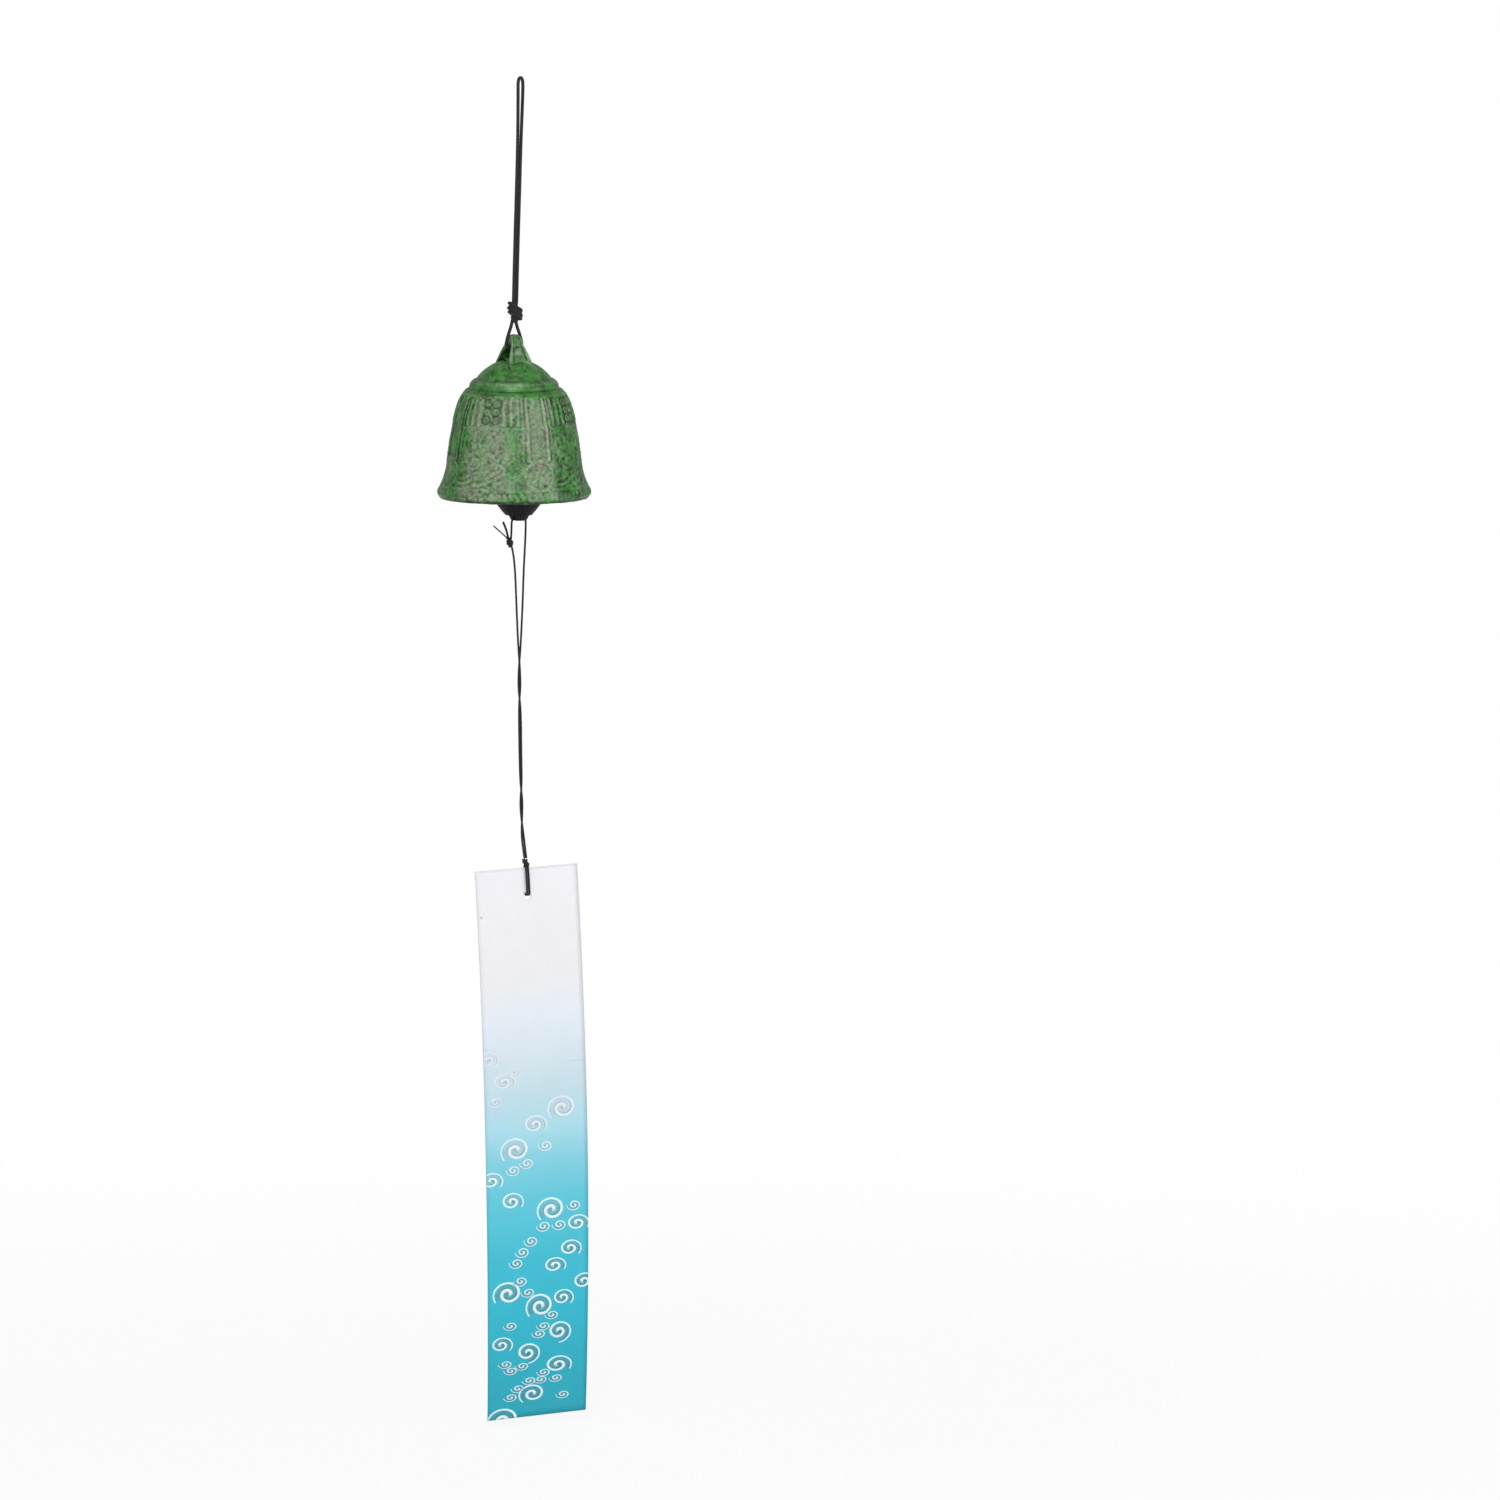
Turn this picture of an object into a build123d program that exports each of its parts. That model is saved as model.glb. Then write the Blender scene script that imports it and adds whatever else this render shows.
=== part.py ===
from build123d import *
from math import cos, pi, radians, sin, tan
import os

os.makedirs("parts", exist_ok=True)

# A cast-iron wind bell on a cord, with a clapper and a long paper strip.
# The origin is the place where the hanging loop sits on its hook, Z is up,
# and the broad face of the paper strip faces -Y.

# Drops: hook to hanging knot, hanging knot to the top of the crown, clapper's saddle to strip knot
knot_drop = 97.9
fork_drop = 9.5
strip_cord_drop = 147.1

# Sideways places of what hangs below the hook
knot_x = -2.7
bell_x = -3.2
clapper_x = -1.1
strip_x = 2.0

# Room between pieces that move on each other, and between the hanging knot and the fork that swings below it
running_gap = 0.3
fork_gap = 0.6

# Cords: a bend takes this share of what its shorter run allows, or of the wire that it goes round
cord_diameter = 1.4
string_diameter = 0.9
bend_share = 0.45
tight_bend_share = 0.96

# Hanging cord, and the fork in it that goes through the crown
hook_half_width = 1.12
strand_space = 0.08
strand_seat = 3.4
fork_top_offset = 0.95
fork_side_rise = 5.1
fork_side_gap = 0.43
fork_bend = 1.5

# Bell casting, from the lip up. Each rise starts at the last one's height, and each spread
# says how much further out the wall is than at the next place above it
lip_height = 2.1
foot_inset = 1.1
lip_spread = 0.7
cove_rise = 2.3
cove_spread = 3.0
flare_rise = 9.3
flare_spread = 3.7
flare_dip = 0.35
shoulder_rise = 21.7
shoulder_spread = 4.1
waist_bulge = 0.45
brow_rise = 9.5
brow_spread = 4.6
shoulder_bulge = 0.45
step_width = 0.7
cap_radius = 16.2
cap_rise = 5.2
dome_rise = 8.4
bead_bulge = 1.0
bead_groove = 0.4
rim_wall = 3.2
bell_wall = 2.6
dome_wall = 2.9

# Crown, the pierced lug on top of the bell: an arch in the YZ plane, wide in X at its feet,
# whose rises start at the top of the dome
crown_rise = 10.4
crown_sink = 3.3
crown_leg = 2.9
crown_waist_rise = 3.5
crown_waist_leg = 0.85
crown_crest_drop = 1.5
crown_crest_depth = 2.5
crown_foot_width = 9.8
crown_crest_width = 3.3
crown_round = 0.7
eye_roof = 4.8
eye_crest_radius = 1.3
eye_crest_angle = 50
eye_half_width = 3.3
eye_spring_rise = 0.3

# Inner eye, a wire staple in the top of the bell
staple_wire = 1.6
staple_half_span = 3.4
staple_drop = 8.0
staple_corner = 1.9
staple_seat = 1.3

# Clapper: its belt's height above the rim of the bell, and what is above and below the belt
belt_height = 1.2
belt_width = 1.6
belt_radius = 11.4
belt_swell = 0.4
nose_drop = 10.95
nose_radius = 3.4
cone_dip = 0.5
neck_rise = 7.4
neck_radius = 2.5
neck_dip = 1.1
head_ring_radius = 2.4
head_ring_wire = 2.2
head_ring_seat = 0.5
saddle_rise = 1.55
saddle_half_width = 2.4
saddle_gap = 0.45
saddle_bend = 0.9

# Clapper cord: its straight stretches beside the two wires that it goes round, and its knot
wire_run = 5.4
clapper_knot_size = 2.8
clapper_knot_share = 0.53
clapper_knot_lap = 1.0

# Knots. Each lobe is a share of the knot's width aside, of its height up, and of its width in size
hanging_knot_width = 6.2
hanging_knot_height = 9.3
hanging_lobe_shares = [(-0.1, 0.18, 0.82), (0.12, -0.02, 0.8), (0.02, -0.26, 0.66), (0.0, 0.36, 0.5)]
joining_knot_x = -5.3
joining_knot_drop = 10.8
joining_knot_width = 2.9
joining_knot_height = 3.9
joining_lobe_shares = [(-0.05, -0.1, 0.95), (0.05, 0.18, 0.85)]
strip_knot_size = 3.2

# Paper strip
strip_length = 234.0
strip_width = 48.0
strip_thickness = 0.5
strip_hole_diameter = 3.4
strip_hole_drop = 12.0
strip_tilt = 1.17
strip_curl = 9.8
strand_gap = 0.15

# Places worked out from the sizes above
cord_radius = cord_diameter / 2
string_radius = string_diameter / 2
strand_offset = cord_radius + strand_space / 2

# Bell's heights above the plane of its rim, and its radii
cove_height = lip_height + cove_rise
flare_height = cove_height + flare_rise
shoulder_height = flare_height + shoulder_rise
brow_height = shoulder_height + brow_rise
cap_height = brow_height + cap_rise
dome_height = cap_height + dome_rise
inner_top = dome_height - dome_wall
crown_height = dome_height + crown_rise
brow_radius = cap_radius + brow_spread
shoulder_radius = brow_radius + shoulder_spread
flare_radius = shoulder_radius + flare_spread
cove_radius = flare_radius + cove_spread
lip_radius = cove_radius + lip_spread
foot_radius = lip_radius - foot_inset
crown_top_z = -knot_drop - fork_drop
rim_z = crown_top_z - crown_height

# Crown's heights and depths, and the cord in its eye
crown_foot_height = dome_height - crown_sink
crown_foot_depth = eye_half_width + crown_leg
crown_waist_height = dome_height + crown_waist_rise
crown_waist_depth = eye_half_width + crown_waist_leg
crown_crest_height = crown_height - crown_crest_drop
eye_top_height = crown_height - eye_roof
eye_spring_height = dome_height + eye_spring_rise
eye_cord_height = eye_top_height - running_gap - cord_radius

# Clapper's heights above the plane of the rim, and the strings that it carries
nose_height = belt_height - nose_drop
neck_height = belt_height + neck_rise
head_height = neck_height - head_ring_seat + head_ring_wire / 2 + head_ring_radius
saddle_height = nose_height + saddle_rise
saddle_z = rim_z + saddle_height
string_half_spread = saddle_half_width + saddle_gap + string_radius
strip_knot_z = saddle_z - strip_cord_drop
staple_turn = staple_wire / 2 + running_gap + string_radius
ring_turn = head_ring_wire / 2 + running_gap + string_radius

bell_plane = Plane(origin=(bell_x, 0, rim_z), x_dir=(1, 0, 0), z_dir=(0, -1, 0))
bell_side_plane = Plane(origin=(bell_x, 0, rim_z), x_dir=(0, 1, 0), z_dir=(1, 0, 0))
bell_axis = Axis((bell_x, 0, rim_z), (0, 0, 1))
clapper_plane = Plane(origin=(clapper_x, 0, rim_z), x_dir=(1, 0, 0), z_dir=(0, -1, 0))
clapper_side_plane = Plane(origin=(clapper_x, 0, rim_z), x_dir=(0, 1, 0), z_dir=(1, 0, 0))
clapper_axis = Axis((clapper_x, 0, rim_z), (0, 0, 1))


def bend_radii(route, tight):
    """The largest radius that each corner's two runs allow; corners in tight keep their own."""
    points = [Vector(*point) for point in route]
    radii = []
    for i in range(1, len(points) - 1):
        before = points[i] - points[i - 1]
        after = points[i + 1] - points[i]
        turn = radians(before.get_angle(after))
        run = min(before.length, after.length)
        radii.append(tight.get(i, bend_share * run / tan(turn / 2)))
    return radii


def lay_cord(name, route, diameter, tight={}):
    """Adds a round cord along a route to the part being built, and prints its bends."""
    radii = bend_radii(route, tight)
    with BuildLine() as path:
        FilletPolyline(*route, radius=radii)
    with BuildSketch(Plane(origin=path.line @ 0, z_dir=path.line % 0)) as end:
        Circle(diameter / 2)
    laid = sweep(end.sketch, path=path.line)
    section = pi * diameter**2 / 4
    long = path.wires()[0].length
    print(name, "length", round(long, 1), "least bend", round(min(radii), 2))
    print(name, "volume over section times length", round(laid.volume / section / long, 4))


def tie_knot(x, z, width, height, lobe_shares):
    """Adds a pulled-tight knot: round lobes of cord, each set off from the middle of the knot."""
    for aside_share, lift_share, size_share in lobe_shares:
        with Locations((x + aside_share * width, 0, z + lift_share * height)):
            Sphere(size_share * width / 2)


def below_saddle(points):
    """Points whose heights are measured from the clapper's saddle, as places in the whole part."""
    return [(x, y, saddle_z + height) for x, y, height in points]


# Hanging cord: from the knot up one side, over the hook and down the other side
strand_end_z = -knot_drop + strand_seat
hanging_route = [
    (knot_x - strand_offset, 0, strand_end_z),
    (-2.89, 0, -74.0),
    (-2.09, 0, -51.0),
    (-1.29, 0, -25.6),
    (-1.12, 0, -6.0),
    (-hook_half_width, 0, cord_radius),
    (hook_half_width, 0, cord_radius),
    (1.12, 0, -6.0),
    (0.19, 0, -25.6),
    (-0.61, 0, -51.0),
    (-1.41, 0, -74.0),
    (knot_x + strand_offset, 0, strand_end_z),
]
hook_bend = hook_half_width * tight_bend_share
with BuildPart() as hanging_cord:
    lay_cord("hanging_cord", hanging_route, cord_diameter, {5: hook_bend, 6: hook_bend})
hanging_cord.part.label = "hanging_cord"
export_step(hanging_cord.part, "parts/hanging_cord.step")

# Hanging knot: an overhand knot in the doubled cord
with BuildPart() as hanging_knot:
    tie_knot(knot_x, -knot_drop, hanging_knot_width, hanging_knot_height, hanging_lobe_shares)
hanging_knot.part.label = "hanging_knot"
export_step(hanging_knot.part, "parts/hanging_knot.step")


def crown_half_width(height):
    """Half of the crown's width in X at a height above the rim."""
    narrowing = (crown_foot_width - crown_crest_width) / 2 / (crown_height - crown_foot_height)
    return crown_crest_width / 2 + (crown_height - height) * narrowing


# Fork loop: the two strands below the knot, which part round the crown and join through its eye
fork_top_z = -knot_drop - hanging_knot_height / 2 - fork_gap
fork_eye_z = rim_z + eye_cord_height
fork_half_width = crown_half_width(eye_cord_height) + fork_side_gap + cord_radius
fork_side_offset = crown_half_width(eye_cord_height + fork_side_rise) + fork_side_gap + cord_radius
fork_route = [
    (bell_x - fork_top_offset, 0, fork_top_z),
    (bell_x - fork_side_offset, 0, fork_eye_z + fork_side_rise),
    (bell_x - fork_half_width, 0, fork_eye_z),
    (bell_x + fork_half_width, 0, fork_eye_z),
    (bell_x + fork_side_offset, 0, fork_eye_z + fork_side_rise),
    (bell_x + fork_top_offset, 0, fork_top_z),
]
with BuildPart() as fork_loop:
    lay_cord("fork_loop", fork_route, cord_diameter, {2: fork_bend, 3: fork_bend})
fork_loop.part.label = "fork_loop"
export_step(fork_loop.part, "parts/fork_loop.step")


def ball_cap(radius, height, top):
    """The point half way along a ball-shaped cap's outline, from its edge to its top on the axis."""
    rise = top - height
    ball = (radius**2 + rise**2) / (2 * rise)
    half_angle = radians(Vector(0, 1).get_angle(Vector(radius, height - top + ball))) / 2
    return (ball * sin(half_angle), top - ball + ball * cos(half_angle))


# Crown: the outline of its arch seen along X, held within the taper seen along Y, with its edges rounded
eye_crest = (
    eye_crest_radius * sin(radians(eye_crest_angle)),
    eye_top_height - eye_crest_radius * (1 - cos(radians(eye_crest_angle))),
)
eye_crest_slope = (cos(radians(eye_crest_angle)), -sin(radians(eye_crest_angle)))
with BuildPart() as crown:
    with BuildSketch(bell_side_plane):
        with BuildLine():
            Spline(
                (crown_foot_depth, crown_foot_height),
                (crown_waist_depth, crown_waist_height),
                (crown_crest_depth, crown_crest_height),
            )
            ThreePointArc(
                (crown_crest_depth, crown_crest_height),
                (0, crown_height),
                (-crown_crest_depth, crown_crest_height),
            )
            Spline(
                (-crown_crest_depth, crown_crest_height),
                (-crown_waist_depth, crown_waist_height),
                (-crown_foot_depth, crown_foot_height),
            )
            Line((-crown_foot_depth, crown_foot_height), (crown_foot_depth, crown_foot_height))
        make_face()
        with BuildLine():
            ThreePointArc(eye_crest, (0, eye_top_height), (-eye_crest[0], eye_crest[1]))
            TangentArc(eye_crest, (eye_half_width, eye_spring_height), tangent=eye_crest_slope)
            Line((eye_half_width, eye_spring_height), (eye_half_width, crown_foot_height))
            Line((eye_half_width, crown_foot_height), (-eye_half_width, crown_foot_height))
            Line((-eye_half_width, crown_foot_height), (-eye_half_width, eye_spring_height))
            TangentArc(
                (-eye_crest[0], eye_crest[1]),
                (-eye_half_width, eye_spring_height),
                tangent=(-eye_crest_slope[0], eye_crest_slope[1]),
            )
        make_face(mode=Mode.SUBTRACT)
    extrude(amount=crown_foot_width, both=True)
    with BuildSketch(bell_plane):
        with BuildLine():
            Polyline(
                (-crown_foot_width / 2, crown_foot_height),
                (crown_foot_width / 2, crown_foot_height),
                (crown_crest_width / 2, crown_height),
                (-crown_crest_width / 2, crown_height),
                close=True,
            )
        make_face()
    extrude(amount=crown_foot_depth, both=True, mode=Mode.INTERSECT)
    crown_foot_z = rim_z + crown_foot_height
    edges_above_foot = crown.edges().filter_by_position(Axis.Z, crown_foot_z, crown_top_z, (False, True))
    fillet(edges_above_foot, radius=crown_round)

# Bell: the shell turned round its axis, with the crown on top and the seats of the inner eye below
cap_edge = (cap_radius - bead_groove, cap_height)
inner_brow = (brow_radius - bell_wall, brow_height - bell_wall / 2)
inner_shoulder = (shoulder_radius - bell_wall, shoulder_height)
inner_flare = (flare_radius - bell_wall, flare_height)
with BuildPart() as bell:
    with BuildSketch(bell_plane):
        with BuildLine():
            Line((foot_radius - rim_wall, 0), (foot_radius, 0))
            ThreePointArc((foot_radius, 0), (lip_radius, lip_height), (cove_radius, cove_height))
            SagittaArc((cove_radius, cove_height), (flare_radius, flare_height), flare_dip)
            SagittaArc((flare_radius, flare_height), (shoulder_radius, shoulder_height), -waist_bulge)
            SagittaArc((shoulder_radius, shoulder_height), (brow_radius, brow_height), -shoulder_bulge)
            Line((brow_radius, brow_height), (brow_radius - step_width, brow_height + bead_groove))
            SagittaArc(
                (brow_radius - step_width, brow_height + bead_groove),
                (cap_radius, cap_height),
                -bead_bulge,
            )
            Line((cap_radius, cap_height), cap_edge)
            ThreePointArc(cap_edge, ball_cap(*cap_edge, dome_height), (0, dome_height))
            Line((0, dome_height), (0, inner_top))
            ThreePointArc((0, inner_top), ball_cap(*inner_brow, inner_top), inner_brow)
            SagittaArc(inner_brow, inner_shoulder, shoulder_bulge)
            SagittaArc(inner_shoulder, inner_flare, waist_bulge)
            SagittaArc(inner_flare, (foot_radius - rim_wall, 0), -flare_dip)
        make_face()
    revolve(axis=bell_axis)
    add(crown.part)
    with Locations(
        (bell_x - staple_half_span, 0, rim_z + inner_top),
        (bell_x + staple_half_span, 0, rim_z + inner_top),
    ):
        Cylinder(staple_wire / 2, 2 * staple_seat, mode=Mode.SUBTRACT)
bell.part.label = "bell"
export_step(bell.part, "parts/bell.step")

# Inner eye: a wire staple cast into the top of the bell
staple_top_z = rim_z + inner_top + staple_seat
staple_bar_z = rim_z + inner_top - staple_drop
staple_route = [
    (bell_x - staple_half_span, 0, staple_top_z),
    (bell_x - staple_half_span, 0, staple_bar_z),
    (bell_x + staple_half_span, 0, staple_bar_z),
    (bell_x + staple_half_span, 0, staple_top_z),
]
with BuildPart() as inner_eye:
    lay_cord("inner_eye", staple_route, staple_wire, {1: staple_corner, 2: staple_corner})
inner_eye.part.label = "inner_eye"
export_step(inner_eye.part, "parts/inner_eye.step")

# Clapper: a turned weight with a ring cast on its head and a cross hole through its nose
belt_bottom = (belt_radius, belt_height - belt_width / 2)
belt_top = (belt_radius, belt_height + belt_width / 2)
string_groove = string_radius + running_gap
with BuildPart() as clapper:
    with BuildSketch(clapper_plane):
        with BuildLine():
            Line((0, nose_height), (nose_radius, nose_height))
            SagittaArc((nose_radius, nose_height), belt_bottom, -cone_dip)
            ThreePointArc(belt_bottom, (belt_radius + belt_swell, belt_height), belt_top)
            SagittaArc(belt_top, (neck_radius, neck_height), -neck_dip)
            Line((neck_radius, neck_height), (0, neck_height))
            Line((0, neck_height), (0, nose_height))
        make_face()
    revolve(axis=clapper_axis)
    with Locations(Location((clapper_x, 0, rim_z + head_height), (90, 0, 0))):
        Torus(head_ring_radius, head_ring_wire / 2)
    with BuildSketch(clapper_side_plane):
        with Locations((0, saddle_height)):
            Circle(string_groove)
    extrude(amount=belt_radius, both=True, mode=Mode.SUBTRACT)
    for side in (-1, 1):
        with BuildSketch(clapper_plane):
            with Locations((side * saddle_half_width, nose_height)):
                Rectangle(
                    belt_radius,
                    saddle_rise + string_groove,
                    align=(Align.MIN if side > 0 else Align.MAX, Align.MIN),
                )
        extrude(amount=belt_radius, both=True, mode=Mode.SUBTRACT)
clapper.part.label = "clapper"
export_step(clapper.part, "parts/clapper.step")

# Clapper cord: a loop over the inner eye and under the clapper's head ring, tied half way up
loop_top_z = staple_bar_z + staple_turn
loop_foot_z = rim_z + head_height + head_ring_radius - ring_turn
loop_lean = (clapper_x - bell_x) / (loop_top_z - loop_foot_z)


def loop_point(y, z):
    """A place on the leaning loop between the inner eye and the clapper's head."""
    return (bell_x + (loop_top_z - z) * loop_lean, y, z)


clapper_knot_z = loop_top_z - (loop_top_z - loop_foot_z) * clapper_knot_share
knot_y = (staple_turn + ring_turn) / 2
clapper_route = [
    loop_point(knot_y, clapper_knot_z + clapper_knot_lap),
    loop_point(staple_turn, loop_top_z - wire_run),
    loop_point(staple_turn, loop_top_z),
    loop_point(-staple_turn, loop_top_z),
    loop_point(-staple_turn, loop_top_z - wire_run),
    loop_point(-knot_y, clapper_knot_z),
    loop_point(-ring_turn, loop_foot_z + wire_run),
    loop_point(-ring_turn, loop_foot_z),
    loop_point(ring_turn, loop_foot_z),
    loop_point(ring_turn, loop_foot_z + wire_run),
    loop_point(knot_y, clapper_knot_z - clapper_knot_lap),
]
staple_bend = staple_turn * tight_bend_share
ring_bend = ring_turn * tight_bend_share
with BuildPart() as clapper_cord:
    lay_cord(
        "clapper_cord",
        clapper_route,
        string_diameter,
        {2: staple_bend, 3: staple_bend, 7: ring_bend, 8: ring_bend},
    )
clapper_cord.part.label = "clapper_cord"
export_step(clapper_cord.part, "parts/clapper_cord.step")

# Clapper cord knot
with BuildPart() as clapper_knot:
    with Locations(loop_point(knot_y, clapper_knot_z)):
        Sphere(clapper_knot_size / 2)
clapper_knot.part.label = "clapper_knot"
export_step(clapper_knot.part, "parts/clapper_knot.step")

# Strip cord: from the joining knot up, through the clapper's nose, and down to the strip knot
saddle_left_x = clapper_x - string_half_spread
saddle_right_x = clapper_x + string_half_spread
strip_knot_top_z = strip_knot_z + strip_knot_size / 2 + running_gap
strip_cord_route = [
    *below_saddle([(-4.75, 0, -9.7), (-4.45, 0, -6.1)]),
    (saddle_left_x, 0, saddle_z),
    (saddle_right_x, 0, saddle_z),
    *below_saddle(
        [
            (2.2, 0, -5.5),
            (1.9, 0, -12.0),
            (1.2, 0, -23.0),
            (0.75, 0, -36.5),
            (-0.3, 0, -56.0),
            (-0.33, 0, -70.5),
            (-0.13, 0, -83.4),
            (0.1, 0, -94.0),
            (0.42, 0, -109.2),
            (0.8, 0, -126.5),
            (1.3, 0, -136.0),
        ]
    ),
    (strip_x + string_radius, 0, strip_knot_top_z),
]
with BuildPart() as strip_cord:
    lay_cord("strip_cord", strip_cord_route, string_diameter, {2: saddle_bend, 3: saddle_bend})
strip_cord.part.label = "strip_cord"
export_step(strip_cord.part, "parts/strip_cord.step")

# Left strand of the strip cord, from the joining knot down to the strip knot
strip_cord_left_route = [
    *below_saddle(
        [
            (-4.6, 0, -11.9),
            (-3.75, 0, -14.9),
            (-3.05, 0, -20.3),
            (-2.6, 0, -27.0),
            (-2.25, 0, -36.5),
            (-1.35, 0, -56.0),
            (-1.37, 0, -70.5),
            (-1.17, 0, -83.4),
            (-0.94, 0, -94.0),
            (-0.62, 0, -109.2),
            (-0.24, 0, -126.5),
            (0.25, 0, -136.0),
        ]
    ),
    (strip_x - string_radius - strand_gap, 0, strip_knot_top_z),
]
with BuildPart() as strip_cord_left:
    lay_cord("strip_cord_left", strip_cord_left_route, string_diameter)
strip_cord_left.part.label = "strip_cord_left"
export_step(strip_cord_left.part, "parts/strip_cord_left.step")

# Joining knot, where the two ends of the strip cord are tied together
with BuildPart() as joining_knot:
    tie_knot(
        joining_knot_x,
        saddle_z - joining_knot_drop,
        joining_knot_width,
        joining_knot_height,
        joining_lobe_shares,
    )
joining_knot.part.label = "joining_knot"
export_step(joining_knot.part, "parts/joining_knot.step")

# Knot tails, the two short cord ends that stick up from the joining knot
tail_routes = [
    below_saddle([(-5.5, 0, -10.1), (-6.9, 0, -8.6), (-9.3, 0, -6.5), (-13.0, 0, -3.4)]),
    below_saddle([(-5.9, 0, -9.7), (-6.3, 0, -7.7), (-7.1, 0, -4.8), (-8.5, 0, -1.9)]),
]
with BuildPart() as knot_tails:
    for number, tail_route in enumerate(tail_routes):
        lay_cord(f"knot_tail_{number}", tail_route, string_diameter)
knot_tails.part.label = "knot_tails"
export_step(knot_tails.part, "parts/knot_tails.step")

# Strip knot
with BuildPart() as strip_knot:
    with Locations((strip_x, 0, strip_knot_z)):
        Sphere(strip_knot_size / 2)
strip_knot.part.label = "strip_knot"
export_step(strip_knot.part, "parts/strip_knot.step")

# Paper strip: a long card, curled along its length, that leans a little to one side.
# Its own frame has the strip knot as origin, X across the card and Y up along its top end.
lean = radians(strip_curl / 2)
tilt = radians(strip_tilt)
across = Vector(cos(tilt), 0, sin(tilt))
up = Vector(-sin(tilt) * cos(lean), sin(lean), cos(tilt) * cos(lean))
strip_plane = Plane(origin=(strip_x, 0, strip_knot_z), x_dir=across, z_dir=across.cross(up))
strip_side_plane = Plane(
    origin=(strip_x, 0, strip_knot_z),
    x_dir=strip_plane.z_dir * -1,
    z_dir=across,
)
curl_radius = strip_length / radians(strip_curl)
strip_top = -strip_knot_size / 2 - running_gap


def curl_point(share, outward):
    """A place on the card's edge, a share of the way down it, set off from its middle surface."""
    angle = radians(strip_curl) * share
    reach = curl_radius - outward
    return (curl_radius - reach * cos(angle), strip_top - reach * sin(angle))


half_card = strip_thickness / 2
with BuildPart() as paper_strip:
    with BuildSketch(strip_side_plane):
        with BuildLine():
            ThreePointArc(curl_point(0, -half_card), curl_point(1 / 2, -half_card), curl_point(1, -half_card))
            Line(curl_point(1, -half_card), curl_point(1, half_card))
            ThreePointArc(curl_point(1, half_card), curl_point(1 / 2, half_card), curl_point(0, half_card))
            Line(curl_point(0, half_card), curl_point(0, -half_card))
        make_face()
    extrude(amount=strip_width / 2, both=True)
    with BuildSketch(strip_plane):
        with Locations((0, strip_top - strip_hole_drop)):
            Circle(strip_hole_diameter / 2)
    extrude(amount=4 * strip_thickness, both=True, mode=Mode.SUBTRACT)
paper_strip.part.label = "paper_strip"
export_step(paper_strip.part, "parts/paper_strip.step")

# Strip loop: two turns of string through the strip's hole, side by side
loop_depth = half_card + running_gap + string_radius
loop_foot = strip_top - strip_hole_drop + strip_hole_diameter / 2 - running_gap - string_radius
loop_bend = loop_depth * tight_bend_share
with BuildPart() as strip_loop:
    for side in (-1, 1):
        shift = side * (string_radius + strand_gap / 2)
        turn_of_string = [
            (shift, strip_top, loop_depth),
            (shift, loop_foot, loop_depth),
            (shift, loop_foot, -loop_depth),
            (shift, strip_top, -loop_depth),
        ]
        loop_route = [tuple(strip_plane.from_local_coords(point)) for point in turn_of_string]
        lay_cord("strip_loop", loop_route, string_diameter, {1: loop_bend, 2: loop_bend})
strip_loop.part.label = "strip_loop"
export_step(strip_loop.part, "parts/strip_loop.step")
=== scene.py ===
import logging
import math
from collections.abc import Callable, Sequence
from dataclasses import dataclass, replace
from enum import Enum
from functools import partial

import bmesh
import bpy
import numpy as np
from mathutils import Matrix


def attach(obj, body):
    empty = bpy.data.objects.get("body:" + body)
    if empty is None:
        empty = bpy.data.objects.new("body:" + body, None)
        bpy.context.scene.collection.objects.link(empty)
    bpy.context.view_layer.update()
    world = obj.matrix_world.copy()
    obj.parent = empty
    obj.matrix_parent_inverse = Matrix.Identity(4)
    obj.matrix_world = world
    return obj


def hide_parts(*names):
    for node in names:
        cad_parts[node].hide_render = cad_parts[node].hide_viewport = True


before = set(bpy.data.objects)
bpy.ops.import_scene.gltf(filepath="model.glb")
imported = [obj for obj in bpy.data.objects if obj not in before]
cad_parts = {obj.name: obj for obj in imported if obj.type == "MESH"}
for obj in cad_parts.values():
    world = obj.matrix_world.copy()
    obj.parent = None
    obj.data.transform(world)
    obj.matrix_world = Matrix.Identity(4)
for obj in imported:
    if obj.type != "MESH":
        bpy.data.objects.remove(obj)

Pair = tuple[float, float]
Triple = tuple[float, float, float]
Point = Triple
Adder = Callable[..., bpy.types.Node]

MM = 0.001
FULL_TURN = 2 * math.pi
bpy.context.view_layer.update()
# The sheet of random lumps that sand_noise reads has this many rows, and height 0 is at this one
LUMP_ROWS = 400
ZERO_ROW = 150
# Corners closer than this, in metres, lie on each other
SEAM_GAP = 1e-7
log = logging.getLogger("wind_bell")


def srgb(code: str) -> tuple[float, float, float, float]:
    """Turns a hex colour into the linear colour that a socket takes.

    Args:
        code: the colour as #RRGGBB.

    Returns:
        Red, green, blue and alpha.
    """
    shares = [int(code[place : place + 2], 16) / 255 for place in (1, 3, 5)]
    linear = [share / 12.92 if share <= 0.04045 else ((share + 0.055) / 1.055) ** 2.4 for share in shares]
    return (*linear, 1.0)


def feed(node: bpy.types.Node, inputs: dict[str | int, object]) -> None:
    """Sets a node's inputs and links them to what feeds them.

    Args:
        node: the node that is fed.
        inputs: for each input, a value, another node's output, or a node whose first output is meant.
    """
    for socket, value in inputs.items():
        if isinstance(value, bpy.types.Node):
            value = value.outputs[0]
        if isinstance(value, bpy.types.NodeSocket):
            node.id_data.links.new(value, node.inputs[socket])
        else:
            node.inputs[socket].default_value = value


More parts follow.
